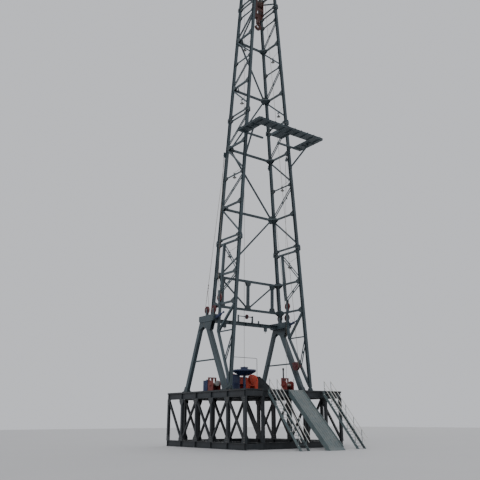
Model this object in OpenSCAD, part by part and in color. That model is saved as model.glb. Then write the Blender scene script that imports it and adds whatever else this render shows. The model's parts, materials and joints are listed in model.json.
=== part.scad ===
// Rotary oil drilling rig, a 1:2 scale model in millimetres.
// An open-front cantilever mast stands on a raised drill floor and leans on an A-frame.
// X runs across the floor, -Y is the open V-door side, +Z is up.
// The origin lies on the ground, in the middle of the rig's outline.

/* [Drill floor] */
// Height of the drill floor above the ground
floor_h = 2250; // [2000:10:2500]
// Width of the drill floor and of the substructure
floor_w = 5300; // [5200:10:5600]
// Distance from the mast's front feet to the floor's front edge
floor_front = 1500; // [1400:10:1700]
// Distance from the mast's front feet to the floor's rear edge
floor_rear = 4250; // [4100:10:4600]
// Thickness of the deck plate
deck_t = 40; // [30:1:60]
// Width of each side box
box_w = 1000; // [950:10:1050]
// Depth of the main beams in the side boxes
beam_h = 250; // [200:5:300]
// Flange width of the main beams
beam_w = 130; // [110:5:160]
// Flange and web thickness of the main beams
beam_t = 16; // [12:1:24]
// Width of the posts in the side boxes
post_w = 110; // [90:5:130]
// Width of the diagonal braces in the side boxes
brace_w = 80; // [60:5:100]
// Number of bays along each side box
box_bays = 5; // [4:1:6]

/* [Rotary table] */
// Distance from the mast's front feet back to the well centre
well_y = 620; // [560:10:680]
// Radius of the rotary table's bore
rotary_bore_r = 174.6; // [150:0.1:200]
// Radius of the rotary table's round top
rotary_r = 480; // [420:5:520]
// Height of the rotary table's top above the deck
rotary_rise = 60; // [40:5:90]
// Depth of the rotary table's housing
rotary_depth = 300; // [250:10:340]

/* [Ramp and stairs] */
// Width of the V-door ramp
ramp_w = 800; // [700:10:900]
// Slope of the V-door ramp in degrees
ramp_slope = 45; // [42:1:50]
// Depth of the ramp's side channels
ramp_d = 160; // [120:5:200]
// Width of each front stair
stair_w = 410; // [350:10:500]
// Slope of the front stairs in degrees
stair_slope = 50; // [47:1:55]
// Number of treads in each flight
stair_treads = 20; // [16:1:22]
// Distance from the centre line to the left stair
stair_left_x = 1275; // [1150:5:1400]
// Distance from the centre line to the right stair
stair_right_x = 1740; // [1650:5:1850]
// Height of the stair rails above the stringers
stair_rail_h = 500; // [450:10:550]

/* [Mast] */
// Height of the lower section of the mast
lower_h = 6620; // [6500:10:6740]
// Height of the middle section
middle_h = 6430; // [6300:10:6560]
// Height of the upper section
upper_h = 6650; // [6500:10:6800]
// Height of the top section under the crown
top_h = 1800; // [1700:10:1900]
// Distance between the front feet
base_spread = 4500; // [4400:10:4560]
// Distance between the legs at the crown
top_spread = 1140; // [1080:10:1200]
// Distance from front to rear legs, taken down to the floor
base_depth = 1775; // [1720:5:1800]
// Distance from front to rear legs at the crown
top_depth = 1155; // [1100:5:1200]
// Distance from the front legs back to the inner posts
inner_y = 1130; // [1080:5:1180]
// Width of the main legs
leg_w = 125; // [110:1:135]
// Flange and web thickness of the main legs
leg_t = 14; // [10:1:20]
// Height of the girts on the back of the mast
girt_h = 105; // [90:1:120]
// Width of the heavy side girts
side_girt_w = 84; // [70:1:95]
// Width of the light side girts
light_girt_w = 52; // [40:1:60]
// Width of the single diagonals
diagonal_w = 66; // [55:1:75]
// Width of each bar in the twin diagonals
twin_w = 34; // [28:1:40]
// Distance between the centre lines of the twin bars
twin_gap = 104; // [90:1:120]
// Reach of the corner knees
knee = 330; // [260:10:380]

/* [Bracing levels of the lower section] */
// Node where the inner posts meet the foot triangles
z_node = 2480; // [2400:10:2560]
// Lowest girt, level with the top of the A-frame
z_g1 = 3720; // [3660:10:3780]
// Girt over the lower back posts
z_g2 = 5060; // [5000:10:5150]

/* [A-frame] */
// Distance from the centre line to each A-frame
a_x = 2150; // [2140:1:2160]
// Place of the front foot behind the mast's front feet
a_front_y = 440; // [420:5:470]
// Place of the rear foot behind the mast's front feet
a_rear_y = 3400; // [3300:10:3500]
// Underside of the A-frame heads above the floor
a_head_z = 2990; // [2950:5:3030]
// Height of the A-frame heads
a_head_h = 280; // [250:5:300]
// In-plane width of the front legs
a_front_w = 220; // [190:5:230]
// In-plane width of the rear legs
a_rear_w = 175; // [150:5:200]
// Thickness of the A-frame legs across the rig
a_leg_t = 170; // [140:5:190]
// Place of the cross beam behind the mast's front feet
a_beam_y = 1850; // [1800:5:1900]
// Height of the cross beam
a_beam_h = 165; // [140:5:190]

/* [Raising gear] */
// Outer radius of the A-frame sheaves
apex_sheave_r = 170; // [150:1:180]
// Outer radius of the mast sheaves
mast_sheave_r = 172; // [150:1:180]
// Width of the raising sheaves
sheave_w = 50; // [44:1:56]
// Radius of the sheave pins
pin_r = 30; // [24:1:34]
// Running clearance of the sheaves on their pins
pin_clear = 0.05; // [0.01:0.01:0.1]
// Side clearance of the sheaves in their forks
side_clear = 6; // [5:0.5:8]
// Thickness of the fork cheeks
cheek_t = 12; // [10:1:16]
// Diameter of the raising lines
raising_rope_d = 18; // [14:1:22]

/* [Racking board] */
// Height of the racking board above the floor
board_z = 11750; // [11650:10:11850]
// Distance from the centre line to the board's outer edge
board_x = 1960; // [1900:10:2050]
// Reach of the board in front of the mast
board_front = 1800; // [1700:10:1900]
// Width of the board's walkways
walk_w = 470; // [420:10:500]
// Depth of the board's frame
board_t = 90; // [70:5:110]
// Width of the diving board
diving_w = 680; // [600:10:720]
// Length of the diving board
diving_l = 640; // [560:10:680]

/* [Crown] */
// Height of the crown frame's beams
crown_beam_h = 200; // [170:5:240]
// Outer radius of the crown and block sheaves
line_sheave_r = 200; // [190:1:210]
// Distance between neighbouring line sheaves
sheave_pitch = 70; // [64:1:76]
// Reach of the crown platform beyond the mast
crown_reach = 330; // [280:10:360]
// Height of the crown rails
crown_rail_h = 550; // [500:10:600]
// Height of the gin frame on the crown
gin_h = 1300; // [1200:10:1400]

/* [Hoist] */
// Distance from the crown sheaves' axis down to the block's axis
block_drop = 1910; // [1850:10:2000]
// Height of the travelling block
block_h = 1080; // [1000:10:1100]
// Width of the travelling block
block_w = 430; // [400:5:440]
// Length of the hook below the block
hook_l = 700; // [640:10:740]
// Diameter of the drilling line
line_d = 16; // [12:1:18]
// Place of the drawworks drum behind the mast's front feet
drum_y = 2400; // [2350:10:2450]
// Height of the drum's axis above the floor
drum_z = 520; // [500:5:540]
// Radius of the drum
drum_r = 165; // [150:5:180]

/* [Hidden] */
$fn = 48;

mast_green = [0.20, 0.25, 0.27];
floor_black = [0.10, 0.11, 0.12];
sheave_red = [0.36, 0.10, 0.10];
machine_orange = [0.70, 0.22, 0.14];
machine_blue = [0.09, 0.13, 0.25];
block_brown = [0.30, 0.12, 0.10];
rope_grey = [0.45, 0.45, 0.44];
ramp_grey = [0.28, 0.34, 0.35];

// A gap that lets flat faces of neighbouring pieces meet without an overlap
seat = 0.2;
ramp_run = floor_h / tan(ramp_slope);
stair_run = floor_h / tan(stair_slope);
mid_y = (floor_rear - floor_front - ramp_run) / 2;
joint_t = 20;
// Clearance of a rope in its groove
rope_clear = 0.3;

// The deck's round hole, and the rotary table's housing that hangs in it
well_r = rotary_r - 30;
housing_r = rotary_r - 40;

// Ramp: plate, side channels and cross ribs
ramp_plate = 20;
ramp_channel_t = 24;
ramp_ribs = 7;
ramp_rib_w = 60;

// Stairs: stringers, treads and rails, with how far rails and posts stay from top and bottom
stringer_d = 110;
stringer_t = 16;
tread_t = 8;
tread_drop = 10;
tread_nosing = 5;
rail_drop = 10;
rail_ends = [60, 260];
rail_posts = 5;
rail_post_ends = [150, 300];
rail_post_sink = 40;

// Levels of the joints and girts; a girt keeps its share of its section
z_twin_low = 1150;
z_joint_1 = lower_h;
z_joint_2 = z_joint_1 + middle_h;
z_joint_3 = z_joint_2 + upper_h;
mast_h = z_joint_3 + top_h;
z_g3 = z_joint_1 + middle_h * 0.269;
z_light_1 = z_joint_1 + middle_h * 0.502;
z_g4 = z_joint_1 + middle_h * 0.754;
z_g5 = z_joint_2 + upper_h * 0.26;
z_light_2 = z_joint_2 + upper_h * 0.481;
z_g6 = z_joint_2 + upper_h * 0.692;
z_light_3 = z_joint_2 + upper_h * 0.902;
z_g7 = z_joint_3 + top_h * 0.5;
back_post_x = 1480;
back_post_w = 150;
back_post_gap = 1.4;
back_diagonal_in = 90;
ear_y = 118;
ear_l = 52;
ear_pin_r = 22;
ear_cheek_x = 34;
ear_cheek_t = 18;
ear_mid_t = 40;

// Feet of the mast: the front legs' shoes and blocks, and the seats of the rear legs
shoe_pin_z = 130;
shoe_pin_r = 38;
shoe_l = 300;
shoe_t = 24;
shoe_lug_x = 62;
shoe_lug_r = 75;
lug_t = 26;
foot_block = [72, 120, 200];
seat_pad = [124, 150];

// A-frame heads, their sheaves and the seats of the mast's rear legs
head_x = a_x - 70;
head_w = 380;
head_y = [1200, 2350];
head_top = a_head_z + a_head_h;
head_chamfer = 70;
apex_front_y = 1350;
apex_rear_y = 1875;
apex_front_z = head_top + 235;
apex_rear_z = head_top + 255;
seat_z = head_top + 240;
a_leg_top_y = [1880, 2230];
a_leg_sink = 60;
a_tie_z = 1330;
a_tie_y = [980, 2800];
a_tie_w = 60;
a_foot = [280, 340];
a_foot_t = 60;

// Cross beam, with the hangers under it and the small disc on its axle above it
a_beam_w = 140;
a_beam_t = 14;
a_beam_top = a_head_z + 170;
hanger_x = 1195;
hanger = [120, 100, 170];
axle_post_x = [-420, 410];
axle_post = [32, 90, 320];
axle_up = 270;
axle_r = 20;
disc_x = 80;
disc_r = 105;
disc_w = 60;
stub = [50, 60, 130];
stub_x = 760;

// Buffer cylinders between the A-frame heads and the mast
buffer_x = a_x - 20;
buffer_drop = 440;
buffer_end = [640, z_g1 - buffer_drop];
buffer_r = 55;
buffer_rod_r = 28;

// Raising sheaves on the mast, and the lugs that the raising lines end at
mast_sheave_z = 4010;
mast_sheave_x = leg_x(mast_sheave_z) + 62;
fork_plate = [120, 40];
lug_z = z_g4 - 320;
lug_reach = 150;
lug_r = 34;
lug_at = [-40, 30, 100];
lug_plate = 14;
lug_pad = [220, 50, 260];

// Crown, with the sheaves of the drilling line between two beams and the fast sheave beside
crown_z = mast_h + seat;
crown_plate_t = 14;
crown_top = crown_z + crown_beam_h + crown_plate_t;
crown_axis_z = crown_z + crown_beam_h + 130;
crown_side_w = 110;
crown_cross_w = 90;
cluster_w = 60;
cluster_gap = 6;
cluster_x = [-2.5 * sheave_pitch - cluster_w / 2 - cluster_gap,
    3.5 * sheave_pitch + cluster_w / 2 + cluster_gap];
line_pin_r = 45;
fast_pin_r = 35;
fast_lug_x = 33;
fast_lug_t = 24;
fast_x = -425;
fast_y = 1040;
fast_z = crown_z + crown_beam_h + line_sheave_r + 40;
gin_y = [120, 760];
gin_foot_x = leg_x(mast_h) + 30;
gin_foot_w = 120;
gin_foot_t = 12;
gin_bar = 60;
gin_head = [260, 80, 90];
gin_beam = 90;
gin_beam_y = [-220, 1120];
gin_wheel_r = 80;

// Travelling block, drawworks and the ends of the drilling line
block_axis_z = crown_axis_z - block_drop;
block_top = block_axis_z + line_sheave_r + 40;
hook_z = block_top - block_h - hook_l;
hook_r = 190;
throat_r = 95;
throat_at = [-20, 24];
dw_x = [-330, 860];
dw_y = [2060, 2740];
dw_plate = 40;
dw_r = 330;
dw_sill = [80, 100];
guard_t = 30;
guard_h = 560;
boss_z = 600;
boss_r = 190;
flange_r = 285;
flange_t = 60;
drum_shaft_r = 60;
hood_at = [-200, 1700, 0];
hood_z = 925;
hood_t = 60;
hood_r = 540;
hood_cone_h = 175;
cabinet_at = [-740, 1820, 0];
cabinet = [380, 520, 780];
chain_at = [900, 2350, 0];
chain_w = 260;
chain_l = 1100;
chain_h = 760;
chain_flat = 120;
chain_low = 60;
anchor = [1930, 560, 1170];
anchor_r = 170;
anchor_w = 110;
anchor_arm = leg_x(anchor[2] + 60) - (leg_w - 28) / 2 - seat - anchor[0] - 20;
fast_top = [fast_x, fast_y + ring(line_sheave_r), fast_z];
fast_low = [200, drum_y - drum_r - line_d / 2 - rope_clear, drum_z];
dead_top = [3 * sheave_pitch, well_y - ring(line_sheave_r), crown_axis_z];
dead_low = [anchor[0], anchor[1] - anchor_r - line_d / 2 - rope_clear, anchor[2]];
strut_drop = 1030;
strut_low = board_z - strut_drop;
strut_to = [1700, -1060];
strut_w = 60;
strut_foot = [120, 24, 180];
strut_cap = [140, 30];
bay_bar_x = 460;
bay_bar_y = -200;
winch_at = [[1250, 420, 0], [-1700, 1900, 0]];
winch_w = 440;
winch_l = 360;
winch_axis_z = 300;
winch_plate = 40;
winch_drum_r = 70;
winch_flange_r = 140;
winch_flange_x = 150;
winch_flange_t = 24;

// Radius of a rope's centre line on a sheave of outer radius r
function ring(r) = r - 14;

// Where a rope that touches a sheave of radius r at a, and runs on to b, has left its rim
function off_rim(a, b, r) = a + (b - a) / norm(b - a) * r * 0.58;

// Places of the front leg, rear leg and inner post on side s at height z above the floor
function leg_x(z) = (base_spread - (base_spread - top_spread) * z / mast_h) / 2;
function rear_y(z) = base_depth - (base_depth - top_depth) * z / mast_h;
function front_leg(s, z) = [s * leg_x(z), 0, z];
function rear_leg(s, z) = [s * leg_x(z), rear_y(z), z];
function inner_post(s, z) = [s * leg_x(z), inner_y, z];

// Everything is drawn with the mast's front feet on y = 0, then moved to the origin
module placed() { translate([0, -mid_y, 0]) children(); }
module on_floor() { placed() translate([0, 0, floor_h]) children(); }

// A frame whose z axis runs from a to b, with its y axis near the row's y axis
module along(a, b) {
    u = (b - a) / norm(b - a);
    translate(a) rotate([-asin(u[1]), atan2(u[0], u[2]), 0]) children();
}

// A rectangular bar from a to b
module bar(a, b, w, d) {
    along(a, b) translate([-w / 2, -d / 2, 0]) cube([w, d, norm(b - a)]);
}

// A wide-flange section from a to b, with its flanges facing along y
module wide_flange(a, b, w, d, t) {
    along(a, b) linear_extrude(norm(b - a)) h_profile(w, d, t);
}

module h_profile(w, d, t) {
    for (side = [-1, 1]) translate([-w / 2, side * (d - t) / 2 - t / 2]) square([w, t]);
    translate([-t / 2, -d / 2 + t / 2]) square([t, d - t]);
}

// Two parallel bars from a to b in the side plane, tied at both ends and in the middle
module twin_bars(a, b) {
    L = norm(b - a);
    along(a, b) {
        for (side = [-1, 1])
            translate([-twin_w / 2, side * twin_gap / 2 - twin_w / 2, 0])
                cube([twin_w, twin_w, L]);
        for (share = [0.06, 0.5, 0.94])
            translate([-twin_w / 2 + 4, -twin_gap / 2, L * share - twin_gap / 2])
                cube([twin_w - 8, twin_gap, twin_gap]);
    }
}

module rope(a, b, d) { along(a, b) cylinder(h = norm(b - a), d = d, $fn = 8); }

// A plate with a round end, standing along z with its hole at the origin
module lug(t, r, length, hole) {
    rotate([0, 90, 0]) difference() {
        union() {
            cylinder(h = t, r = r, center = true);
            translate([0, -r, -t / 2]) cube([length, 2 * r, t]);
        }
        if (hole > 0) cylinder(h = t + 2, r = hole, center = true);
    }
}

module x_cylinder(r, length, sides = 48) {
    rotate([0, 90, 0]) cylinder(h = length, r = r, center = true, $fn = sides);
}

// Substructure

// One long beam of a side box, from the floor's front to its rear edge
module box_beam(x, z) {
    translate([x, floor_rear, z]) rotate([90, 0, 0]) linear_extrude(floor_rear + floor_front)
        rotate(90) translate([beam_h / 2, 0]) rotate(90) h_profile(beam_w, beam_h, beam_t);
}

module side_box(s) {
    outer = floor_w / 2 - beam_w / 2;
    inner = floor_w / 2 - box_w + beam_w / 2;
    top = floor_h - deck_t - beam_h;
    bay = (floor_rear + floor_front - post_w) / box_bays;
    color(floor_black) placed() {
        for (x = [outer, inner]) {
            box_beam(s * x, 0);
            box_beam(s * x, top);
            for (i = [0:box_bays]) {
                y = -floor_front + post_w / 2 + i * bay;
                bar([s * x, y, beam_h], [s * x, y, top], post_w, post_w);
                if (i < box_bays) {
                    low = i % 2 == 0 ? y : y + bay;
                    high = i % 2 == 0 ? y + bay : y;
                    bar([s * x, low, beam_h], [s * x, high, top], brace_w, brace_w);
                }
            }
        }
        for (i = [0:box_bays], z = [beam_h / 2, top + beam_h / 2]) {
            y = -floor_front + post_w / 2 + i * bay;
            bar([s * (inner + beam_t / 2 + seat), y, z], [s * (outer - beam_t / 2 - seat), y, z],
                beam_h - 3 * beam_t, post_w - 20);
        }
    }
}

// A cross girder between the side boxes at y, with its middle at height z
module cross_girder(y, z) {
    half = floor_w / 2 - box_w - seat;
    along([-half, y, z], [half, y, z]) linear_extrude(2 * half)
        rotate(90) h_profile(beam_w, beam_h, beam_t);
}

module floor_girders() {
    top = floor_h - deck_t - beam_h / 2;
    rotary_half = rotary_r + beam_w / 2 + 10;
    rows = [-floor_front + beam_w / 2, well_y - rotary_half, well_y + rotary_half,
        floor_rear - beam_w / 2];
    gap = beam_t / 2 + seat;
    color(floor_black) placed() {
        for (y = [rows[0], rows[3]]) cross_girder(y, beam_h / 2);
        for (y = rows) cross_girder(y, top);
        for (x = [-rotary_half, rotary_half], i = [0:2])
            bar([x, rows[i] + gap, top], [x, rows[i + 1] - gap, top],
                beam_w - 20, beam_h - 3 * beam_t);
    }
}

module floor_deck() {
    color(floor_black) placed() difference() {
        translate([-floor_w / 2, -floor_front, floor_h - deck_t])
            cube([floor_w, floor_front + floor_rear, deck_t]);
        translate([0, well_y, floor_h - deck_t - 1]) cylinder(h = deck_t + 2, r = well_r);
    }
}

module rotary_table() {
    color(floor_black) placed() translate([0, well_y, floor_h + rotary_rise]) difference() {
        union() {
            translate([0, 0, -rotary_rise + seat]) cylinder(h = rotary_rise - seat, r = rotary_r);
            translate([0, 0, -rotary_depth]) cylinder(h = rotary_depth, r = housing_r);
        }
        translate([0, 0, -rotary_depth - 1]) cylinder(h = rotary_depth + 2, r = rotary_bore_r);
    }
}

// A skid that slopes from the floor's front edge down to the ground
module slope(angle) {
    placed() translate([0, -floor_front - seat, floor_h]) rotate([angle, 0, 0]) children();
}

module vdoor_ramp() {
    length = floor_h / sin(ramp_slope);
    color(ramp_grey) intersection() {
        placed() translate([-ramp_w, -floor_front - ramp_run, 0])
            cube([2 * ramp_w, ramp_run - seat, floor_h]);
        slope(ramp_slope) {
            translate([-ramp_w / 2, -length - ramp_d, -ramp_plate])
                cube([ramp_w, length + 2 * ramp_d, ramp_plate]);
            for (s = [-1, 1])
                translate([(s * (ramp_w - ramp_channel_t) - ramp_channel_t) / 2, -length - ramp_d, -ramp_d])
                    cube([ramp_channel_t, length + 2 * ramp_d, ramp_d]);
            for (i = [0:ramp_ribs - 1])
                translate([-ramp_w / 2, -length * (i + 0.5) / ramp_ribs, -ramp_d * 0.8])
                    cube([ramp_w, ramp_rib_w, ramp_d * 0.8]);
        }
    }
}

module stair(x) {
    length = floor_h / sin(stair_slope);
    side = (stair_w - stringer_t) / 2;
    rise = floor_h / (stair_treads + 1);
    going = stair_run / (stair_treads + 1);
    color(ramp_grey) {
        intersection() {
            placed() translate([x - stair_w, -floor_front - stair_run - stringer_d, 0])
                cube([2 * stair_w, stair_run + stringer_d - seat, floor_h]);
            slope(stair_slope) for (s = [-1, 1])
                translate([x + s * side - stringer_t / 2, -length - 2 * stringer_d, -stringer_d])
                    cube([stringer_t, length + 4 * stringer_d, stringer_d]);
        }
        placed() for (i = [1:stair_treads])
            translate([x - stair_w / 2 + stringer_t + seat, -floor_front - (i + 0.15) * going,
                floor_h - i * rise - tread_drop])
                cube([stair_w - 2 * (stringer_t + seat), going + tread_nosing, tread_t]);
        for (s = [-1, 1]) stair_rail(x + s * side, length);
    }
}

module stair_rail(x, length) {
    w = stringer_t;
    slope(stair_slope) for (height = [0.5, 1])
        translate([x - w / 2, -length + rail_ends[1], stair_rail_h * height * cos(stair_slope) - rail_drop])
            cube([w, length - rail_ends[0] - rail_ends[1], w]);
    span = length - rail_post_ends[0] - rail_post_ends[1];
    placed() for (i = [0:rail_posts - 1]) {
        along_slope = rail_post_ends[0] + i * span / (rail_posts - 1);
        y = -floor_front - along_slope * cos(stair_slope);
        z = floor_h - along_slope * sin(stair_slope);
        translate([x - w / 2, y - w / 2, z - rail_post_sink])
            cube([w, w, stair_rail_h + rail_post_sink - rail_drop]);
    }
}

// A-frame

module fork(y, z, r, base_z) {
    gap = sheave_w / 2 + side_clear;
    translate([0, y, z]) {
        for (side = [-1, 1]) translate([side * (gap + cheek_t / 2), 0, 0])
            lug(cheek_t, pin_r * 2, z - base_z, 0);
        x_cylinder(pin_r, 2 * gap + 2 * cheek_t);
    }
}

// The head that both legs of an A-frame run into, with its lower edges cut away
module a_head(s) {
    c = head_chamfer;
    translate([s * head_x - head_w / 2, 0, 0]) rotate([90, 0, 90]) linear_extrude(head_w) polygon([
        [head_y[0], head_top], [head_y[0], a_head_z + c], [head_y[0] + c, a_head_z],
        [head_y[1] - c, a_head_z], [head_y[1], a_head_z + c], [head_y[1], head_top]]);
}

module a_frame(s) {
    seat_x = leg_x(seat_z);
    color(mast_green) on_floor() {
        low = a_foot_t - 10;
        high = a_head_z + a_leg_sink;
        bar([s * a_x, a_front_y, low], [s * a_x, a_leg_top_y[0], high], a_leg_t, a_front_w);
        bar([s * a_x, a_rear_y, low], [s * a_x, a_leg_top_y[1], high], a_leg_t - 10, a_rear_w);
        bar([s * a_x, a_tie_y[0], a_tie_z], [s * a_x, a_tie_y[1], a_tie_z], a_tie_w, a_tie_w);
        for (y = [a_front_y, a_rear_y])
            translate([s * a_x - a_foot[0] / 2, y - a_foot[1] / 2, 0]) cube([a_foot[0], a_foot[1], a_foot_t]);
        a_head(s);
        translate([s * seat_x - seat_pad[0] / 2, rear_y(seat_z) - seat_pad[1] / 2, head_top])
            cube([seat_pad[0], seat_pad[1], seat_z - head_top]);
        translate([s * a_x, 0, 0]) {
            fork(apex_front_y, apex_front_z, apex_sheave_r, head_top);
            fork(apex_rear_y, apex_rear_z, apex_sheave_r, head_top);
        }
        mast_shoe(s);
    }
}

// The shoe that the mast's front leg is pinned in
module mast_shoe(s) {
    x = s * leg_x(shoe_pin_z);
    translate([x - shoe_l / 2, -shoe_l / 2, 0]) cube([shoe_l, shoe_l, shoe_t]);
    for (side = [-1, 1])
        translate([x + side * shoe_lug_x, 0, shoe_pin_z]) lug(lug_t, shoe_lug_r, shoe_pin_z, 0);
    translate([x, 0, shoe_pin_z]) x_cylinder(shoe_pin_r, 2 * shoe_lug_x + lug_t + 20);
}

module a_frame_beam() {
    half = head_x - head_w / 2 - seat;
    top = a_beam_top;
    color(mast_green) on_floor() {
        along([-half, a_beam_y, top - a_beam_h / 2], [half, a_beam_y, top - a_beam_h / 2])
            linear_extrude(2 * half) rotate(90) h_profile(a_beam_w, a_beam_h, a_beam_t);
        for (s = [-1, 1])
            translate([s * hanger_x - hanger[0] / 2, a_beam_y - hanger[1] / 2, top - a_beam_h - hanger[2]])
                cube(hanger);
        for (x = axle_post_x)
            translate([x - axle_post[0] / 2, a_beam_y - axle_post[1] / 2, top]) cube(axle_post);
        translate([0, a_beam_y, top + axle_up]) x_cylinder(axle_r, -2 * axle_post_x[0]);
        translate([disc_x, a_beam_y, top + axle_up]) x_cylinder(disc_r, disc_w);
        translate([stub_x, a_beam_y - stub[1] / 2, top]) cube(stub);
    }
}

module buffer_cylinders() {
    color(machine_blue) on_floor() for (s = [-1, 1]) {
        x = s * buffer_x;
        a = [x, head_y[0] - seat, a_head_z + 130];
        b = [x, buffer_end[0], buffer_end[1]];
        m = a + (b - a) * 0.62;
        translate([x - 30, head_y[0] - 30, a_head_z + 90]) cube([60, 30 - seat, 80]);
        along(a + (b - a) * 0.05, m) cylinder(h = norm(m - a) * 0.95, r = buffer_r);
        along(m, b) cylinder(h = norm(b - m), r = buffer_rod_r);
        translate([x - 20, buffer_end[0] - 40, buffer_end[1] - 40]) cube([40, 90, 80]);
    }
}

// Mast

// One block of a joint ear, t wide at x, from the leg or (past = true) clear of its joint plate
module ear_block(x, t, dir, z0, z1, past) {
    near = past ? leg_w / 2 + 17 : leg_w / 2 - 12;
    far = ear_y + ear_l;
    translate([x - t / 2, dir > 0 ? near : -far, z0]) cube([t, far - near, z1 - z0]);
}

// A pinned joint of one leg: lower cheeks with their pin, reaching out along y
module ear_lower(p, dir) {
    translate(p) {
        for (side = [-1, 1]) {
            ear_block(side * ear_cheek_x, ear_cheek_t, dir, -130, -seat, false);
            ear_block(side * ear_cheek_x, ear_cheek_t, dir, -40, 80, true);
        }
        translate([0, dir * ear_y, 0]) x_cylinder(ear_pin_r, 2 * (ear_cheek_x + ear_cheek_t) + 4);
    }
}

module ear_upper(p, dir) {
    translate(p) difference() {
        union() {
            ear_block(0, ear_mid_t, dir, seat, 140, false);
            ear_block(0, ear_mid_t, dir, -60, 40, true);
        }
        translate([0, dir * ear_y, 0]) x_cylinder(ear_pin_r + seat, ear_mid_t + 20);
    }
}

// Joint plates where two mast sections meet, below (part = -1) or above (part = 1) height z
module joint_plates(s, z, part) {
    for (p = [front_leg(s, z), rear_leg(s, z)])
        translate(p + [0, 0, part * (joint_t + seat) / 2])
            cube([leg_w + 30, leg_w + 30, joint_t], center = true);
    for (leg = [[front_leg(s, z), -1], [rear_leg(s, z), 1]])
        if (part < 0) ear_lower(leg[0], leg[1]); else ear_upper(leg[0], leg[1]);
}

module section_legs(s, z0, z1) {
    wide_flange(front_leg(s, z0), front_leg(s, z1), leg_w, leg_w, leg_t);
    wide_flange(rear_leg(s, z0), rear_leg(s, z1), leg_w, leg_w, leg_t);
}

module side_girt(s, z, w) { bar(front_leg(s, z), rear_leg(s, z), w, w); }

// One leg of a zigzag: a diagonal from the rear leg down to the front leg
module falling(s, z_rear, z_front) {
    bar(rear_leg(s, z_rear), front_leg(s, z_front), diagonal_w, diagonal_w);
}

module twins(s, z_front, z_rear) { twin_bars(front_leg(s, z_front), rear_leg(s, z_rear)); }

module mast_lower(s) {
    fork_top = mast_sheave_z + mast_sheave_r + 90;
    gap = sheave_w / 2 + side_clear;
    x = mast_sheave_x;
    foot_z = shoe_pin_z + 100;
    color(mast_green) on_floor() {
        wide_flange(front_leg(s, foot_z), front_leg(s, z_joint_1 - joint_t / 2), leg_w, leg_w, leg_t);
        wide_flange(rear_leg(s, seat_z + joint_t / 2), rear_leg(s, z_joint_1 - joint_t / 2),
            leg_w, leg_w, leg_t);
        translate(rear_leg(s, seat_z) + [-seat_pad[0] / 2, -seat_pad[1] / 2 + 5, seat])
            cube([seat_pad[0], seat_pad[1] - 10, joint_t]);
        translate(front_leg(s, shoe_pin_z)) difference() {
            translate([-foot_block[0] / 2, -foot_block[1] / 2, -60]) cube(foot_block);
            x_cylinder(shoe_pin_r + rope_clear, foot_block[0] + 18);
        }
        joint_plates(s, z_joint_1, -1);
        side_girt(s, z_joint_1 - 120, side_girt_w);
        side_girt(s, z_g2, side_girt_w);
        side_girt(s, z_g1, side_girt_w);
        bar(inner_post(s, fork_top), inner_post(s, z_joint_1 - 120), leg_w - 20, leg_w - 20);
        for (side = [-1, 1])
            translate([s * x + side * (gap + cheek_t / 2) - cheek_t / 2, inner_y - fork_plate[0] / 2, z_g1])
                cube([cheek_t, fork_plate[0], fork_top - z_g1 + 1.5 * fork_plate[1]]);
        translate([s * x, inner_y, mast_sheave_z]) x_cylinder(pin_r, 2 * gap + cheek_t);
        for (z = [fork_top + fork_plate[1], z_g1 + fork_plate[1] / 2])
            translate([s * (x - 30), inner_y, z])
                cube([2 * gap + 2 * cheek_t + 60, fork_plate[0], fork_plate[1]], center = true);
        bar(inner_post(s, z_g1), inner_post(s, z_node), leg_w - 24, leg_w - 24);
        bar(inner_post(s, z_node + 40), [s * leg_x(shoe_pin_z + 120), 40, shoe_pin_z + 120],
            leg_w - 28, leg_w - 28);
        bar(front_leg(s, z_g1 - 60), inner_post(s, z_node), side_girt_w + 8, side_girt_w + 8);
        bar(front_leg(s, z_node), inner_post(s, z_node), light_girt_w, light_girt_w);
        twin_bars(inner_post(s, z_joint_1 - 180), front_leg(s, z_g2 + 60));
        twin_bars(front_leg(s, z_g2 - 60), inner_post(s, fork_top - 20));
        twin_bars(front_leg(s, z_node - 60), [s * leg_x(z_twin_low), inner_y * 0.46, z_twin_low]);
    }
}

module mast_middle(s) {
    color(mast_green) on_floor() {
        section_legs(s, z_joint_1 + joint_t / 2, z_joint_2 - joint_t / 2);
        joint_plates(s, z_joint_1, 1);
        joint_plates(s, z_joint_2, -1);
        side_girt(s, z_joint_1 + 120, side_girt_w - 10);
        falling(s, z_g3 - 60, z_joint_1 + 250);
        side_girt(s, z_g3, side_girt_w);
        twins(s, z_light_1 - 130, z_g3 + 110);
        side_girt(s, z_light_1, light_girt_w);
        falling(s, z_g4 - 60, z_light_1 + 130);
        side_girt(s, z_g4, side_girt_w);
        twins(s, z_joint_2 - 220, z_g4 + 110);
        side_girt(s, z_joint_2 - 120, light_girt_w + 8);
        raising_lug(s);
    }
}

// The bracket behind the rear leg that the raising lines are pinned to
module raising_lug(s) {
    p = rear_leg(s, lug_z);
    translate([p[0] + s * lug_at[1] - lug_pad[0] / 2, p[1] + leg_w / 2 - 6, lug_z - lug_pad[2] / 2])
        cube(lug_pad);
    translate([p[0], p[1] + lug_reach, lug_z]) {
        for (x = lug_at)
            translate([s * x, 0, 0]) rotate([-90, 0, 0]) lug(lug_plate, lug_r, lug_reach - 80, 0);
        translate([s * lug_at[1], 0, 0]) x_cylinder(14, 190);
    }
}

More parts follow.
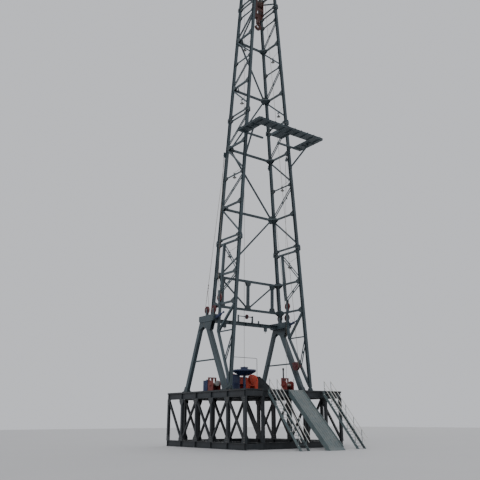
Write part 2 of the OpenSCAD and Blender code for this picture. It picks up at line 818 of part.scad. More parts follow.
module mast_upper(s) {
    color(mast_green) on_floor() {
        section_legs(s, z_joint_2 + joint_t / 2, z_joint_3 - joint_t / 2);
        joint_plates(s, z_joint_2, 1);
        joint_plates(s, z_joint_3, -1);
        side_girt(s, z_joint_2 + 120, light_girt_w + 8);
        falling(s, z_g5 - 60, z_joint_2 + 400);
        side_girt(s, z_g5, side_girt_w);
        twins(s, z_light_2 - 110, z_g5 + 110);
        side_girt(s, z_light_2, light_girt_w);
        falling(s, z_g6 - 60, z_light_2 + 120);
        side_girt(s, z_g6, side_girt_w);
        twins(s, z_light_3 - 110, z_g6 + 110);
        side_girt(s, z_light_3, light_girt_w);
        side_girt(s, z_joint_3 - 120, light_girt_w + 8);
    }
}

module mast_top(s) {
    color(mast_green) on_floor() {
        section_legs(s, z_joint_3 + joint_t / 2, mast_h - joint_t);
        joint_plates(s, z_joint_3, 1);
        side_girt(s, z_joint_3 + 120, light_girt_w + 8);
        falling(s, z_g7 - 60, z_joint_3 + 250);
        side_girt(s, z_g7, side_girt_w);
        twins(s, mast_h - 160, z_g7 + 110);
        side_girt(s, mast_h - 80, side_girt_w);
        for (p = [front_leg(s, mast_h), rear_leg(s, mast_h)])
            translate(p + [0, 0, -joint_t / 2]) cube([leg_w + 30, leg_w + 30, joint_t], center = true);
    }
}

// Half length of a back girt that fits between the rear legs at height z
function girt_half(z) = leg_x(z + girt_h / 2) - leg_w / 2 - seat;

module back_girt(z) {
    bar([-girt_half(z), rear_y(z), z], [girt_half(z), rear_y(z), z], girt_h, girt_h - 20);
}

// A corner brace in plan, from the back girt to the inner face of the side girt
module knee_brace(s, z) {
    x = leg_x(z) - side_girt_w / 2 - seat;
    y = rear_y(z) - 20;
    translate([0, 0, z - 25]) linear_extrude(50) polygon([
        [s * (x - knee - 35), y], [s * (x - knee + 35), y],
        [s * x, y - knee + 35], [s * x, y - knee - 35]]);
}

// A diagonal between two back girts, from side s at z_top to the other side at z_bottom
module back_diagonal(s, z_top, z_bottom) {
    a = [s * (girt_half(z_top) - back_diagonal_in), rear_y(z_top), z_top];
    b = [-s * (girt_half(z_bottom) - back_diagonal_in), rear_y(z_bottom), z_bottom];
    bar(a, b, diagonal_w, diagonal_w);
}

module mast_back_girts() {
    color(mast_green) on_floor() {
        for (z = [z_g2, z_g3, z_g4, z_g5, z_g6, z_g7]) {
            back_girt(z);
            for (s = [-1, 1]) knee_brace(s, z);
        }
        back_diagonal(-1, z_g6, z_g5);
        back_diagonal(1, z_g5, z_g4);
        back_diagonal(-1, z_g4, z_g3);
        back_diagonal(1, z_g3, z_g2);
        back_diagonal(1, z_g7, z_g6);
    }
}

module mast_back_posts() {
    low = z_g1;
    high = z_g2 - girt_h / 2 - back_post_gap;
    top_y = rear_y(z_g2);
    low_y = rear_y(z_g1);
    color(mast_green) on_floor() {
        back_girt(low);
        for (x = [-back_post_x, 0, back_post_x])
            bar([x, low_y, low], [x, top_y, high], back_post_w, girt_h - 30);
        for (s = [-1, 1])
            bar([s * (back_post_x - 40), top_y, high - 90], [s * 60, low_y, low + 90], 60, 60);
    }
}

// Crown

module crown_frame() {
    x = leg_x(mast_h);
    y = [0, rear_y(mast_h)];
    z = crown_z + crown_beam_h / 2;
    reach = crown_reach;
    color(sheave_red) on_floor() {
        for (s = [-1, 1])
            bar([s * x, -reach, z], [s * x, y[1] + reach, z], crown_side_w, crown_beam_h);
        for (yy = y) {
            for (s = [-1, 1]) bar([s * (x + crown_side_w / 2), yy, z], [s * (x + reach), yy, z],
                crown_beam_h - 40, crown_cross_w);
            bar([-x, yy, z], [x, yy, z], crown_beam_h - 40, crown_cross_w);
        }
        for (xx = cluster_x) {
            bar([xx, 0, z], [xx, y[1], z], cluster_w, crown_beam_h - 20);
            translate([xx, well_y, crown_axis_z]) lug(cluster_w, 90, crown_axis_z - z, 0);
        }
        for (side = [-1, 1]) translate([fast_x + side * fast_lug_x, fast_y, fast_z])
            lug(fast_lug_t, 80, fast_z - crown_z - crown_beam_h, 0);
        difference() {
            translate([-x - reach, -reach, crown_z + crown_beam_h])
                cube([2 * (x + reach), y[1] + 2 * reach, crown_plate_t]);
            translate([cluster_x[0] + cluster_w / 2, 150, crown_z + crown_beam_h - 1])
                cube([cluster_x[1] - cluster_x[0] - cluster_w, 2 * (well_y - 150), crown_plate_t + 2]);
            translate([fast_x - 30, fast_y + 100, crown_z + crown_beam_h - 1])
                cube([60, 140, crown_plate_t + 2]);
        }
    }
}

// A grooved rope wheel on an axis along x
module line_sheave(r, w, rope_d, bore) {
    groove = rope_d / 2 + rope_clear;
    rotate([0, 90, 0]) rotate_extrude() difference() {
        translate([bore, -w / 2]) square([r - bore, w]);
        translate([ring(r), 0]) circle(r = groove);
        polygon([[ring(r), -groove], [r + 1, -groove - 5], [r + 1, groove + 5], [ring(r), groove]]);
        for (side = [-1, 1])
            translate([bore + 26, side > 0 ? w / 2 - 12 : -w / 2 - 1]) square([r - bore - 64, 13]);
    }
}

module crown_sheaves() {
    color(sheave_red) on_floor() {
        translate([0, well_y, crown_axis_z]) {
            for (i = [-2:3]) translate([i * sheave_pitch, 0, 0])
                line_sheave(line_sheave_r, sheave_pitch - 10, line_d, line_pin_r - 1);
            translate([sheave_pitch / 2, 0, 0])
                x_cylinder(line_pin_r, cluster_x[1] - cluster_x[0] - cluster_w - 2 * seat);
        }
        translate([fast_x, fast_y, fast_z]) {
            line_sheave(line_sheave_r, 36, line_d, fast_pin_r - 1);
            x_cylinder(fast_pin_r, 2 * fast_lug_x - fast_lug_t - 2 * seat);
        }
    }
}

module crown_rails() {
    x = leg_x(mast_h) + crown_reach - 20;
    y0 = -crown_reach + 20;
    y1 = rear_y(mast_h) + crown_reach - 20;
    z0 = crown_top;
    color([0.75, 0.75, 0.74]) on_floor() {
        for (xx = [-x, 0, x], yy = [y0, (y0 + y1) / 2, y1]) if (xx != 0 || yy != (y0 + y1) / 2)
            translate([xx - 12, yy - 12, z0]) cube([24, 24, crown_rail_h]);
        for (h = [0.5, 1]) {
            for (s = [-1, 1])
                translate([s * x - 10, y0 - 10, z0 + crown_rail_h * h - 24]) cube([20, y1 - y0 + 20, 20]);
            for (yy = [y0, y1])
                translate([-x - 10, yy - 10, z0 + crown_rail_h * h - 24]) cube([2 * x + 20, 20, 20]);
        }
    }
}

module gin_frame() {
    z0 = crown_top;
    apex = z0 + gin_h;
    color(sheave_red) on_floor() {
        for (y = gin_y, s = [-1, 1]) {
            bar([s * gin_foot_x, y, z0 + gin_foot_t], [s * 90, y, apex], gin_bar, gin_bar);
            translate([s * gin_foot_x - gin_foot_w / 2, y - gin_foot_w / 2, z0 + seat])
                cube([gin_foot_w, gin_foot_w, gin_foot_t]);
        }
        for (y = gin_y) translate([-gin_head[0] / 2, y - gin_head[1] / 2, apex - 70]) cube(gin_head);
        bar([0, gin_beam_y[0], apex + 20], [0, gin_beam_y[1], apex + 20], gin_beam, gin_beam);
        translate([0, gin_beam_y[0] + 60, apex - 60]) x_cylinder(gin_wheel_r, 40);
    }
}

// Racking board

module racking_board() {
    z = board_z - board_t;
    y0 = -board_front;
    color(mast_green) on_floor() {
        translate([-board_x, y0, z]) cube([2 * board_x, walk_w, board_t]);
        for (s = [-1, 1])
            translate([s > 0 ? board_x - walk_w : -board_x, y0, z])
                cube([walk_w, board_front - 160, board_t]);
        for (s = [-1, 1]) {
            rear = [s * (leg_x(board_z) + 40), bay_bar_y, z + board_t / 2];
            bar([s * bay_bar_x, bay_bar_y, rear[2]], [s * (board_x - 20), bay_bar_y, rear[2]], 80, 80);
            bar(rear, [rear[0], -leg_w / 2 - seat, rear[2]], 70, 70);
        }
        translate([-diving_w / 2 - 40, y0 + walk_w, z]) cube([diving_w, diving_l, 40]);
    }
}

module board_struts() {
    color(mast_green) on_floor() for (s = [-1, 1]) {
        foot = [s * leg_x(strut_low), -leg_w / 2 - strut_foot[1] - seat, strut_low];
        top = [s * strut_to[0], strut_to[1], board_z - board_t - strut_cap[1]];
        bar(foot, top, strut_w, strut_w);
        translate(foot - [strut_foot[0] / 2, 0, strut_foot[2] / 2]) cube(strut_foot);
        translate(top - [strut_cap[0] / 2, strut_cap[0] / 2, 0])
            cube([strut_cap[0], strut_cap[0], strut_cap[1] - seat]);
    }
}

// Hoist

module travelling_block() {
    z = hook_z + hook_l;
    half = block_w / 2;
    color(block_brown) on_floor() translate([0, well_y, 0]) {
        for (s = [-1, 1]) translate([s * (half - 12), 0, 0]) rotate([90, 0, 90])
            linear_extrude(24, center = true) polygon([
                [-90, z], [90, z], [230, z + 330], [230, block_top - 120], [140, block_top],
                [-140, block_top], [-230, block_top - 120], [-230, z + 330]]);
        translate([-half + 10, -90, z]) cube([block_w - 20, 180, 260]);
        for (i = [-2:2]) translate([i * sheave_pitch, 0, block_axis_z])
            line_sheave(line_sheave_r, sheave_pitch - 10, line_d, line_pin_r - 1);
        translate([0, 0, block_axis_z]) x_cylinder(line_pin_r, block_w - 20);
        for (y = [-205, 205]) translate([-half + 10, y - 12, z + 360]) cube([block_w - 20, 24, 160]);
    }
}

module hook() {
    color(block_brown) on_floor() translate([0, well_y, hook_z]) {
        translate([0, 0, hook_l - 300]) cylinder(h = 300 - seat, r = 105);
        translate([0, 0, hook_l - 360]) cylinder(h = 60, r = 60);
        // The throat's circle is set off from the back's, so that the hook thins to its tip
        translate([0, 0, hook_r]) rotate([90, 0, 0]) linear_extrude(110, center = true) difference() {
            circle(r = hook_r);
            translate(throat_at) circle(r = throat_r);
            polygon([throat_at, [-300, 10], [-300, 300], [-90, 300]]);
        }
        translate([-60, -55, 300]) cube([120, 110, 60]);
    }
}

module drilling_lines() {
    color(rope_grey) on_floor() for (i = [-2:2], side = [-1, 1])
        rope([i * sheave_pitch, well_y + side * ring(line_sheave_r), block_axis_z],
            [i * sheave_pitch, well_y + side * ring(line_sheave_r), crown_axis_z], line_d);
}

module hoist_lines() {
    color(rope_grey) on_floor() {
        rope(fast_low, off_rim(fast_top, fast_low, line_sheave_r), line_d);
        rope(dead_low, off_rim(dead_top, dead_low, line_sheave_r), line_d);
    }
}

module raising_lines() {
    color(rope_grey) on_floor() for (s = [-1, 1]) {
        p = rear_leg(s, lug_z) + [0, lug_reach, -lug_r - rope_clear - 0.9];
        a = [s * a_x, apex_rear_y + ring(apex_sheave_r), apex_rear_z];
        b = [s * mast_sheave_x, inner_y + ring(mast_sheave_r), mast_sheave_z];
        pa = p + [s * lug_at[1], 0, 0];
        pb = p + [s * lug_at[2], 0, 0];
        rope(off_rim(a, pa, apex_sheave_r), pa, raising_rope_d);
        rope(off_rim(b, pb, mast_sheave_r), pb, raising_rope_d);
    }
}

module raising_sheave(x, y, z, r) {
    color(sheave_red) on_floor() translate([x, y, z])
        line_sheave(r, sheave_w, raising_rope_d, pin_r + pin_clear);
}

// Machinery on the floor

// A side plate of the drawworks, rounded about the drum's axis
module drum_cheek(x) {
    translate([x, 0, 0]) difference() {
        translate([-dw_plate / 2, 0, 0]) rotate([90, 0, 90]) linear_extrude(dw_plate) {
            translate([dw_y[0], 0]) square([dw_y[1] - dw_y[0], drum_z]);
            translate([drum_y, drum_z]) circle(r = dw_r);
        }
        translate([0, drum_y, drum_z]) x_cylinder(drum_shaft_r + pin_clear, dw_plate + 20);
    }
}

// The front guard: two openings below, and a round housing over the right one
module drum_guard() {
    w = dw_x[1] - dw_x[0];
    translate([dw_x[0], dw_y[0] + guard_t, 0]) rotate([90, 0, 0]) linear_extrude(guard_t) difference() {
        union() {
            square([w, guard_h]);
            translate([80, 0]) square([w * 0.42, guard_h + 140]);
            translate([w * 0.72, boss_z]) circle(r = boss_r + 40);
        }
        translate([150, 90]) square([w * 0.30, 300]);
        translate([w * 0.60, 90]) square([w * 0.25, 230]);
    }
    translate([dw_x[0] + w * 0.72, dw_y[0] + 10, boss_z]) rotate([90, 0, 0])
        cylinder(h = 3 * guard_t, r = boss_r);
}

module drawworks_frame() {
    color(machine_orange) on_floor() {
        for (x = dw_x) drum_cheek(x);
        for (y = [dw_y[0], dw_y[1] - dw_sill[0]])
            translate([dw_x[0], y, 0]) cube([dw_x[1] - dw_x[0], dw_sill[0], dw_sill[1]]);
        translate([dw_x[0], dw_y[1] - dw_plate, dw_sill[1]]) cube([dw_x[1] - dw_x[0], dw_plate, 400]);
        drum_guard();
    }
}

module drawworks_drum() {
    length = dw_x[1] - dw_x[0] - dw_plate - 2 * side_clear;
    color(machine_orange) on_floor()
        translate([(dw_x[0] + dw_x[1]) / 2, drum_y, drum_z]) {
            x_cylinder(drum_r, length);
            for (s = [-1, 1])
                translate([s * (length - flange_t) / 2, 0, 0]) x_cylinder(flange_r, flange_t);
            x_cylinder(drum_shaft_r, dw_x[1] - dw_x[0] + dw_plate - 2);
        }
}

module drawworks_hood() {
    color(machine_blue) on_floor() {
        translate(cabinet_at) cube(cabinet);
        translate(hood_at) {
            cylinder(h = hood_z - hood_cone_h + 10, r = 60);
            translate([0, 0, hood_z - hood_cone_h]) cylinder(h = hood_cone_h, r1 = 230, r2 = 460);
            translate([0, 0, hood_z]) cylinder(h = hood_t, r = hood_r);
            translate([0, 0, hood_z + hood_t]) cylinder(h = 120, r = 170);
        }
    }
}

module chain_case() {
    color(floor_black) on_floor() translate(chain_at) rotate([90, 0, 0]) linear_extrude(chain_w)
        polygon([[0, 0], [chain_l, 0], [chain_l, chain_low], [chain_flat, chain_h], [0, chain_h]]);
}

module line_anchor() {
    color(sheave_red) on_floor() translate(anchor) {
        x_cylinder(anchor_r, anchor_w);
        x_cylinder(60, 150);
        translate([20, -140, -60]) cube([anchor_arm, 130, 120]);
    }
}

// The back of a winch, with two long windows above the drum
module winch_back() {
    window_r = 38;
    window_z = [winch_axis_z + 120, winch_axis_z + 250];
    rotate([90, 0, 0]) linear_extrude(20) difference() {
        translate([-winch_w / 2, 0]) square([winch_w, window_z[1] + 2 * window_r]);
        for (x = [-95, 95]) {
            translate([x - window_r, window_z[0]]) square([2 * window_r, window_z[1] - window_z[0]]);
            for (z = window_z) translate([x, z]) circle(r = window_r);
        }
    }
}

module floor_winches() {
    color(sheave_red) on_floor() for (p = winch_at)
        translate(p) {
            for (side = [-1, 1])
                translate([side * (winch_w - winch_plate) / 2, 0, winch_axis_z])
                    lug(winch_plate, winch_l / 2, winch_axis_z, 0);
            translate([0, 0, winch_axis_z]) x_cylinder(winch_drum_r, winch_w - winch_plate);
            for (side = [-1, 1]) translate([side * winch_flange_x, 0, winch_axis_z])
                x_cylinder(winch_flange_r, winch_flange_t);
            translate([-winch_w / 2, -winch_l / 2, 0]) cube([winch_w, winch_l, winch_plate]);
            translate([0, winch_l / 2, 0]) winch_back();
        }
}

side_box(-1);  // side_box_left
side_box(1);  // side_box_right
floor_girders();
floor_deck();
rotary_table();
vdoor_ramp();
stair(-stair_left_x);  // stair_left
stair(stair_right_x);  // stair_right
a_frame(-1);  // a_frame_left
a_frame(1);  // a_frame_right
a_frame_beam();
buffer_cylinders();
mast_lower(-1);  // mast_lower_left
mast_lower(1);  // mast_lower_right
mast_middle(-1);  // mast_middle_left
mast_middle(1);  // mast_middle_right
mast_upper(-1);  // mast_upper_left
mast_upper(1);  // mast_upper_right
mast_top(-1);  // mast_top_left
mast_top(1);  // mast_top_right
mast_back_girts();
mast_back_posts();
crown_frame();
crown_sheaves();
crown_rails();
gin_frame();
racking_board();
board_struts();
travelling_block();
hook();
drilling_lines();
hoist_lines();
raising_lines();
raising_sheave(-mast_sheave_x, inner_y, mast_sheave_z, mast_sheave_r);  // mast_sheave_left
raising_sheave(mast_sheave_x, inner_y, mast_sheave_z, mast_sheave_r);  // mast_sheave_right
raising_sheave(-a_x, apex_front_y, apex_front_z, apex_sheave_r);  // apex_sheave_left_front
raising_sheave(-a_x, apex_rear_y, apex_rear_z, apex_sheave_r);  // apex_sheave_left_rear
raising_sheave(a_x, apex_front_y, apex_front_z, apex_sheave_r);  // apex_sheave_right_front
raising_sheave(a_x, apex_rear_y, apex_rear_z, apex_sheave_r);  // apex_sheave_right_rear
drawworks_frame();
drawworks_drum();
drawworks_hood();
chain_case();
line_anchor();
floor_winches();
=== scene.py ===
import json
import math
import random
from itertools import product

import bmesh
import bpy
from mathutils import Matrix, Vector


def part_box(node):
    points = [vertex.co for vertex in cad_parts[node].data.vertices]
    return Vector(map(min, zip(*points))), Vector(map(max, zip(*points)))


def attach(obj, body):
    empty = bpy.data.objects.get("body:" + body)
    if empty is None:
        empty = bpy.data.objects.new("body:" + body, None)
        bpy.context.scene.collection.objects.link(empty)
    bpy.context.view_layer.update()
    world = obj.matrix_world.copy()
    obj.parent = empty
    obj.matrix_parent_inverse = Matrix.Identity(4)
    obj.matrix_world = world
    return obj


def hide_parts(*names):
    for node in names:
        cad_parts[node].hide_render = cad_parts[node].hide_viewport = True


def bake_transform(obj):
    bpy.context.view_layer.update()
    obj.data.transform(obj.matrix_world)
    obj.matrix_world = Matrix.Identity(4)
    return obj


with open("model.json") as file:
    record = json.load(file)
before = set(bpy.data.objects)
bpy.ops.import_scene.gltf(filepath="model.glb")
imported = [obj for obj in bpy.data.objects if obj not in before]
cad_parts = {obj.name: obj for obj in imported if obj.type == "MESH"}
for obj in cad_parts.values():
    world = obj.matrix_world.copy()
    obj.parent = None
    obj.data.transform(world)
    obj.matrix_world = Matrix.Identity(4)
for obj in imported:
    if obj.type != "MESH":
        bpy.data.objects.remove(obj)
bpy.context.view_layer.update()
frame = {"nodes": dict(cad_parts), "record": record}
random.seed(7)


def vec(x, y, z):
    return Vector((x, y, z))


RIGHT, BACK, UP = vec(1, 0, 0), vec(0, 1, 0), vec(0, 0, 1)
SIDES = (-1, 1)

# Sizes in metres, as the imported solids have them. Mast coordinates put the front feet on y = 0
# and the drill floor on z = 0.
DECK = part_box("floor_deck")
FLOOR_FRONT = -1.5
FLOOR_Z = DECK[1].z
FOOT_Y = DECK[0].y - FLOOR_FRONT
FLOOR_W = DECK[1].x - DECK[0].x
FLOOR_REAR = DECK[1].y - FOOT_Y
TO_FRAME = vec(0, FOOT_Y, FLOOR_Z)
LOWER, MIDDLE, UPPER, TOP = 6.62, 6.43, 6.65, 1.80
MAST_H = LOWER + MIDDLE + UPPER + TOP
BASE_SPREAD = 4.5
TOP_SPREAD = 1.14
BASE_DEPTH = 1.775
TOP_DEPTH = 1.155
INNER_Y = 1.13
LEG = 0.125
GIRT = 0.084
LIGHT_GIRT = 0.052
BACK_GIRT = 0.105
JOINTS = (LOWER, LOWER + MIDDLE, LOWER + MIDDLE + UPPER)
GIRTS = (3.72, 5.06, JOINTS[0] + MIDDLE * 0.269, JOINTS[0] + MIDDLE * 0.754,
         JOINTS[1] + UPPER * 0.26, JOINTS[1] + UPPER * 0.692, JOINTS[2] + TOP * 0.5)
LIGHT_GIRTS = (JOINTS[0] + MIDDLE * 0.502, JOINTS[1] + UPPER * 0.481, JOINTS[1] + UPPER * 0.902)
BOARD_Z = 11.75
BOARD_X = 1.96
BOARD_FRONT = -1.80
BOARD_T = 0.09
WALK = 0.47
WELL_Y = 0.62
LINE_R = 0.200
PITCH = 0.070
CROWN_Z = MAST_H + 0.0002
CROWN_TOP = CROWN_Z + 0.2 + 0.014
CROWN_AXIS = CROWN_Z + 0.33
FAST = (-0.425, 1.04, CROWN_Z + 0.2 + LINE_R + 0.04)
BLOCK_AXIS = CROWN_AXIS - 1.91
BLOCK_HALF = 0.215
BLOCK_LOW = BLOCK_AXIS + LINE_R + 0.04 - 1.08
HOOK_Z = BLOCK_LOW - 0.70
LUG_Z = GIRTS[3] - 0.32
A_X = 2.15
A_WEB = 0.085
A_HEAD = (2.99, 3.27)
BEAM_Y = 1.85
BEAM_TOP = 3.16
BEAM_LOW = BEAM_TOP - 0.165
BEAM_LUG = 1.195
DRUM = (0.265, 2.40, 0.52)
DRUM_R = 0.165
DRUM_RIM = 0.539
DW_X = (-0.33, 0.86)
DW_FRONT = 2.06
HOOD = vec(-0.20, 1.70, 0)
WINCH_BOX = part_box("floor_winches")
WINCHES = ((WINCH_BOX[1].x - 0.22, WINCH_BOX[0].y + 0.18 - FOOT_Y),
           (WINCH_BOX[0].x + 0.22, WINCH_BOX[1].y - 0.18 - FOOT_Y))
WINCH_AXIS = 0.30

# Places of pieces that are only in this script
PULLEY = vec(1.372, 0.205, 11.16)
PULLEY_R = 0.070
# Each lamp hangs inside a side of the mast: its height and its distance behind the front leg
LAMPS = ((16.80, 0.57), (13.66, 0.50), (9.74, 0.70), (5.85, 0.68))

# Where the photograph was taken from, in the row frame
CAMERA_AT = (-17.91, -21.57, 1.104)
CAMERA_PITCH = 108.21
CAMERA_ROLL = 0.17
CAMERA_YAW = -37.18
FRAME_PIXELS = 480
FOCAL_PIXELS = 624.94
AXIS_ABOVE_CENTRE = -26


# Places

def leg_x(z):
    return (BASE_SPREAD - (BASE_SPREAD - TOP_SPREAD) * z / MAST_H) / 2


def rear_y(z):
    return BASE_DEPTH - (BASE_DEPTH - TOP_DEPTH) * z / MAST_H


def front(s, z):
    return vec(s * leg_x(z), 0, z)


def rear(s, z):
    return vec(s * leg_x(z), rear_y(z), z)


def row(start, step, count):
    return [start + step * k for k in range(count)]


def arc(centre, r, start, end, steps=16):
    """Points on a circle in a plane of constant x, by angles in degrees from +y towards +z."""
    x, y, z = centre
    angles = [math.radians(start + (end - start) * i / steps) for i in range(steps + 1)]
    return [vec(x, y + r * math.cos(a), z + r * math.sin(a)) for a in angles]


def spokes(axis, count, phase=0.0):
    """Unit vectors spaced evenly round one of the three axes, the first turned by phase steps."""
    u = BACK if axis[0] else RIGHT
    v = BACK if axis[2] else UP
    angles = [math.tau * (k + phase) / count for k in range(count)]
    return [u * math.cos(a) + v * math.sin(a) for a in angles]


def around(centre, axis, r, count, phase=0.0):
    """Points spaced evenly on a circle about one of the three axes."""
    return [Vector(centre) + u * r for u in spokes(axis, count, phase)]


def across(direction, near):
    """Two unit vectors square to direction, the second as close to near as it can be."""
    d = Vector(direction).normalized()
    v = Vector(near) - d * Vector(near).dot(d)
    if v.length < 1e-3:
        v = RIGHT - d * d.x
    v.normalize()
    return d.cross(v), v


def circle(centre, direction, r, sides, turn=0.0):
    u, v = across(direction, BACK)
    angles = [turn + math.tau * i / sides for i in range(sides)]
    return [Vector(centre) + u * (r * math.cos(a)) + v * (r * math.sin(a)) for a in angles]


# Shapes

class Shape:
    """A mesh that is put together from lofts, in mast coordinates."""

    def __init__(self):
        self.verts = []
        self.faces = []

    def loft(self, rings, closed=False):
        start, n = len(self.verts), len(rings[0])
        for ring in rings:
            self.verts.extend(Vector(p) for p in ring)
        last = len(rings) if closed else len(rings) - 1
        for k in range(last):
            a = start + k * n
            b = start + (k + 1) % len(rings) * n
            for i in range(n):
                j = (i + 1) % n
                self.faces.append((a + i, a + j, b + j, b + i))
        if not closed:
            self.faces.append(tuple(start + i for i in reversed(range(n))))
            self.faces.append(tuple(start + last * n + i for i in range(n)))

    def box(self, low, high):
        (x0, y0, z0), (x1, y1, z1) = low, high
        self.loft([[(x0, y0, z), (x1, y0, z), (x1, y1, z), (x0, y1, z)] for z in (z0, z1)])

    def block(self, at, size):
        """A box that stands on at, the middle of its underside."""
        (x, y, z), (w, d, h) = at, size
        self.box((x - w / 2, y - d / 2, z), (x + w / 2, y + d / 2, z + h))

    def bar(self, a, b, w, d, near):
        """A rectangular bar from a to b, d thick along near and w thick across it."""
        a, b = Vector(a), Vector(b)
        u, v = across(b - a, near)
        self.loft([[p + u * (i * w / 2) + v * (j * d / 2)
                    for i, j in ((-1, -1), (1, -1), (1, 1), (-1, 1))] for p in (a, b)])

    def rod(self, a, b, r, sides=10):
        a, b = Vector(a), Vector(b)
        self.loft([circle(p, b - a, r, sides) for p in (a, b)])

    def lathe(self, at, direction, profile, sides=24, closed=False):
        """profile is (radius, distance along direction) pairs."""
        d = Vector(direction).normalized()
        self.loft([circle(Vector(at) + d * h, d, r, sides) for r, h in profile], closed)

    def ring(self, at, direction, r0, r1, h, sides=24):
        """A ring of rectangular section, from r0 to r1 and h high."""
        self.lathe(at, direction, ((r0, 0), (r1, 0), (r1, h), (r0, h)), sides, closed=True)

    def tube(self, points, r, sides=8):
        points = [Vector(p) for p in points]
        rings = []
        near = vec(0.13, 0.31, 0.94)
        for i, p in enumerate(points):
            d = points[min(i + 1, len(points) - 1)] - points[max(i - 1, 0)]
            u, v = across(d, near)
            near = v
            rings.append([p + u * (r * math.cos(math.tau * k / sides))
                          + v * (r * math.sin(math.tau * k / sides)) for k in range(sides)])
        self.loft(rings)

    def plate(self, outline, thickness):
        """A flat plate: outline is points in space, thickness a vector."""
        t = Vector(thickness)
        self.loft([[Vector(p) - t / 2 for p in outline], [Vector(p) + t / 2 for p in outline]])

    def bolt(self, at, direction, r=0.009, h=0.008):
        """A washer and a hexagon head that stand on at, along direction."""
        at, d = Vector(at), Vector(direction).normalized()
        turn = random.random()
        self.loft([circle(at + d * k, d, r * 1.5, 10) for k in (0, h * 0.3)])
        self.loft([circle(at + d * k, d, r, 6, turn) for k in (h * 0.3, h * 1.3)])

    def bolt_ring(self, centre, axis, radius, count, r, phase=0.0):
        for at in around(centre, axis, radius, count, phase):
            self.bolt(at, axis, r)

    def hoop(self, centre, r0, r1, half, start, end, steps=24):
        """A band bent about the x axis, from r0 to r1 and half wide each way."""
        x, y, z = centre
        rings = []
        for i in range(steps + 1):
            a = math.radians(start + (end - start) * i / steps)
            c, s = math.cos(a), math.sin(a)
            rings.append([(x - half, y + r0 * c, z + r0 * s), (x + half, y + r0 * c, z + r0 * s),
                          (x + half, y + r1 * c, z + r1 * s), (x - half, y + r1 * c, z + r1 * s)])
        self.loft(rings)

    def coil(self, centre, r, half, rope_r, sides=28):
        """Turns of rope side by side on a drum about the x axis."""
        x, y, z = centre
        count = int(2 * half / (2.06 * rope_r))
        angles = [math.tau * k / 6 for k in range(6)]
        ring = [(r + rope_r * math.cos(a), rope_r * math.sin(a)) for a in angles]
        for i in range(count):
            at = (x - half + (i + 0.5) * 2 * half / count, y, z)
            self.lathe(at, RIGHT, ring, sides, closed=True)


def piece(name, shape, material, body="rig", bevel=0.0, smooth=False):
    mesh = bpy.data.meshes.new(name)
    mesh.from_pydata([p + TO_FRAME for p in shape.verts], [], shape.faces)
    work = bmesh.new()
    work.from_mesh(mesh)
    bmesh.ops.recalc_face_normals(work, faces=work.faces)
    work.to_mesh(mesh)
    work.free()
    mesh.materials.append(material)
    if smooth:
        mesh.shade_smooth()
        mesh.set_sharp_from_angle(angle=math.radians(38))
    obj = bpy.data.objects.new(name, mesh)
    bpy.context.scene.collection.objects.link(obj)
    if bevel:
        edge = obj.modifiers.new("edge", "BEVEL")
        edge.width = bevel
        edge.segments = 1
        edge.limit_method = "ANGLE"
    if body:
        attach(obj, body)
    return obj


# Materials

RUST = (0.085, 0.030, 0.013)
DUST = (0.17, 0.155, 0.13)
WORN = (0.20, 0.19, 0.18)


class Finish:
    """A material that is built up from nodes."""

    def __init__(self, name):
        self.material = bpy.data.materials.new(name)
        self.material.use_nodes = True
        self.tree = self.material.node_tree
        self.shader = self.tree.nodes["Principled BSDF"]

    def put(self, node, inputs):
        """Sets inputs, by name or number, to a number, a colour or what a socket gives."""
        for key, value in inputs.items():
            socket = node.inputs[key]
            if isinstance(value, bpy.types.NodeSocket):
                self.tree.links.new(value, socket)
            elif socket.type == "RGBA":
                socket.default_value = (*value, 1)
            else:
                socket.default_value = value

    def node(self, kind, inputs):
        node = self.tree.nodes.new("ShaderNode" + kind)
        self.put(node, inputs)
        return node

    def place(self, scale=(1, 1, 1), turn=(0, 0, 0)):
        """The object's own coordinates, scaled and turned by degrees."""
        own = self.node("TexCoord", {}).outputs["Object"]
        turn = [math.radians(a) for a in turn]
        return self.node("Mapping", {"Vector": own, "Scale": scale, "Rotation": turn}).outputs["Vector"]

    def noise(self, scale, detail, stretch=(1, 1, 1)):
        inputs = {"Vector": self.place(stretch), "Scale": scale, "Detail": detail}
        return self.node("TexNoise", inputs).outputs["Fac"]

    def band(self, source, low, high, out=(0, 1)):
        """source spread over out, 0 to 1 unless given, between low and high."""
        inputs = {"Value": source, "From Min": low, "From Max": high, "To Min": out[0], "To Max": out[1]}
        return self.node("MapRange", inputs).outputs["Result"]

    def maths(self, operation, a, b):
        node = self.node("Math", {0: a, 1: b})
        node.operation = operation
        node.use_clamp = True
        return node.outputs[0]

    def times(self, a, b):
        return self.maths("MULTIPLY", a, b)

    def mix(self, factor, a, b):
        node = self.tree.nodes.new("ShaderNodeMix")
        node.data_type = "RGBA"
        self.put(node, {0: factor, 6: a, 7: b})
        return node.outputs[2]

    def upward(self):
        """How far a surface faces the sky, from 0 to 1."""
        normal = self.node("NewGeometry", {}).outputs["Normal"]
        return self.band(self.node("SeparateXYZ", {0: normal}).outputs["Z"], 0.2, 1.0)

    def done(self, colour, roughness, metallic, height, strength, depth):
        """Gives the shader its colour, roughness and metal, with bumps of that height and depth."""
        bump = self.node("Bump", {"Height": height, "Strength": strength, "Distance": depth})
        self.put(self.shader, {"Base Color": colour, "Roughness": roughness, "Metallic": metallic,
                               "Normal": bump.outputs[0]})
        return self.material


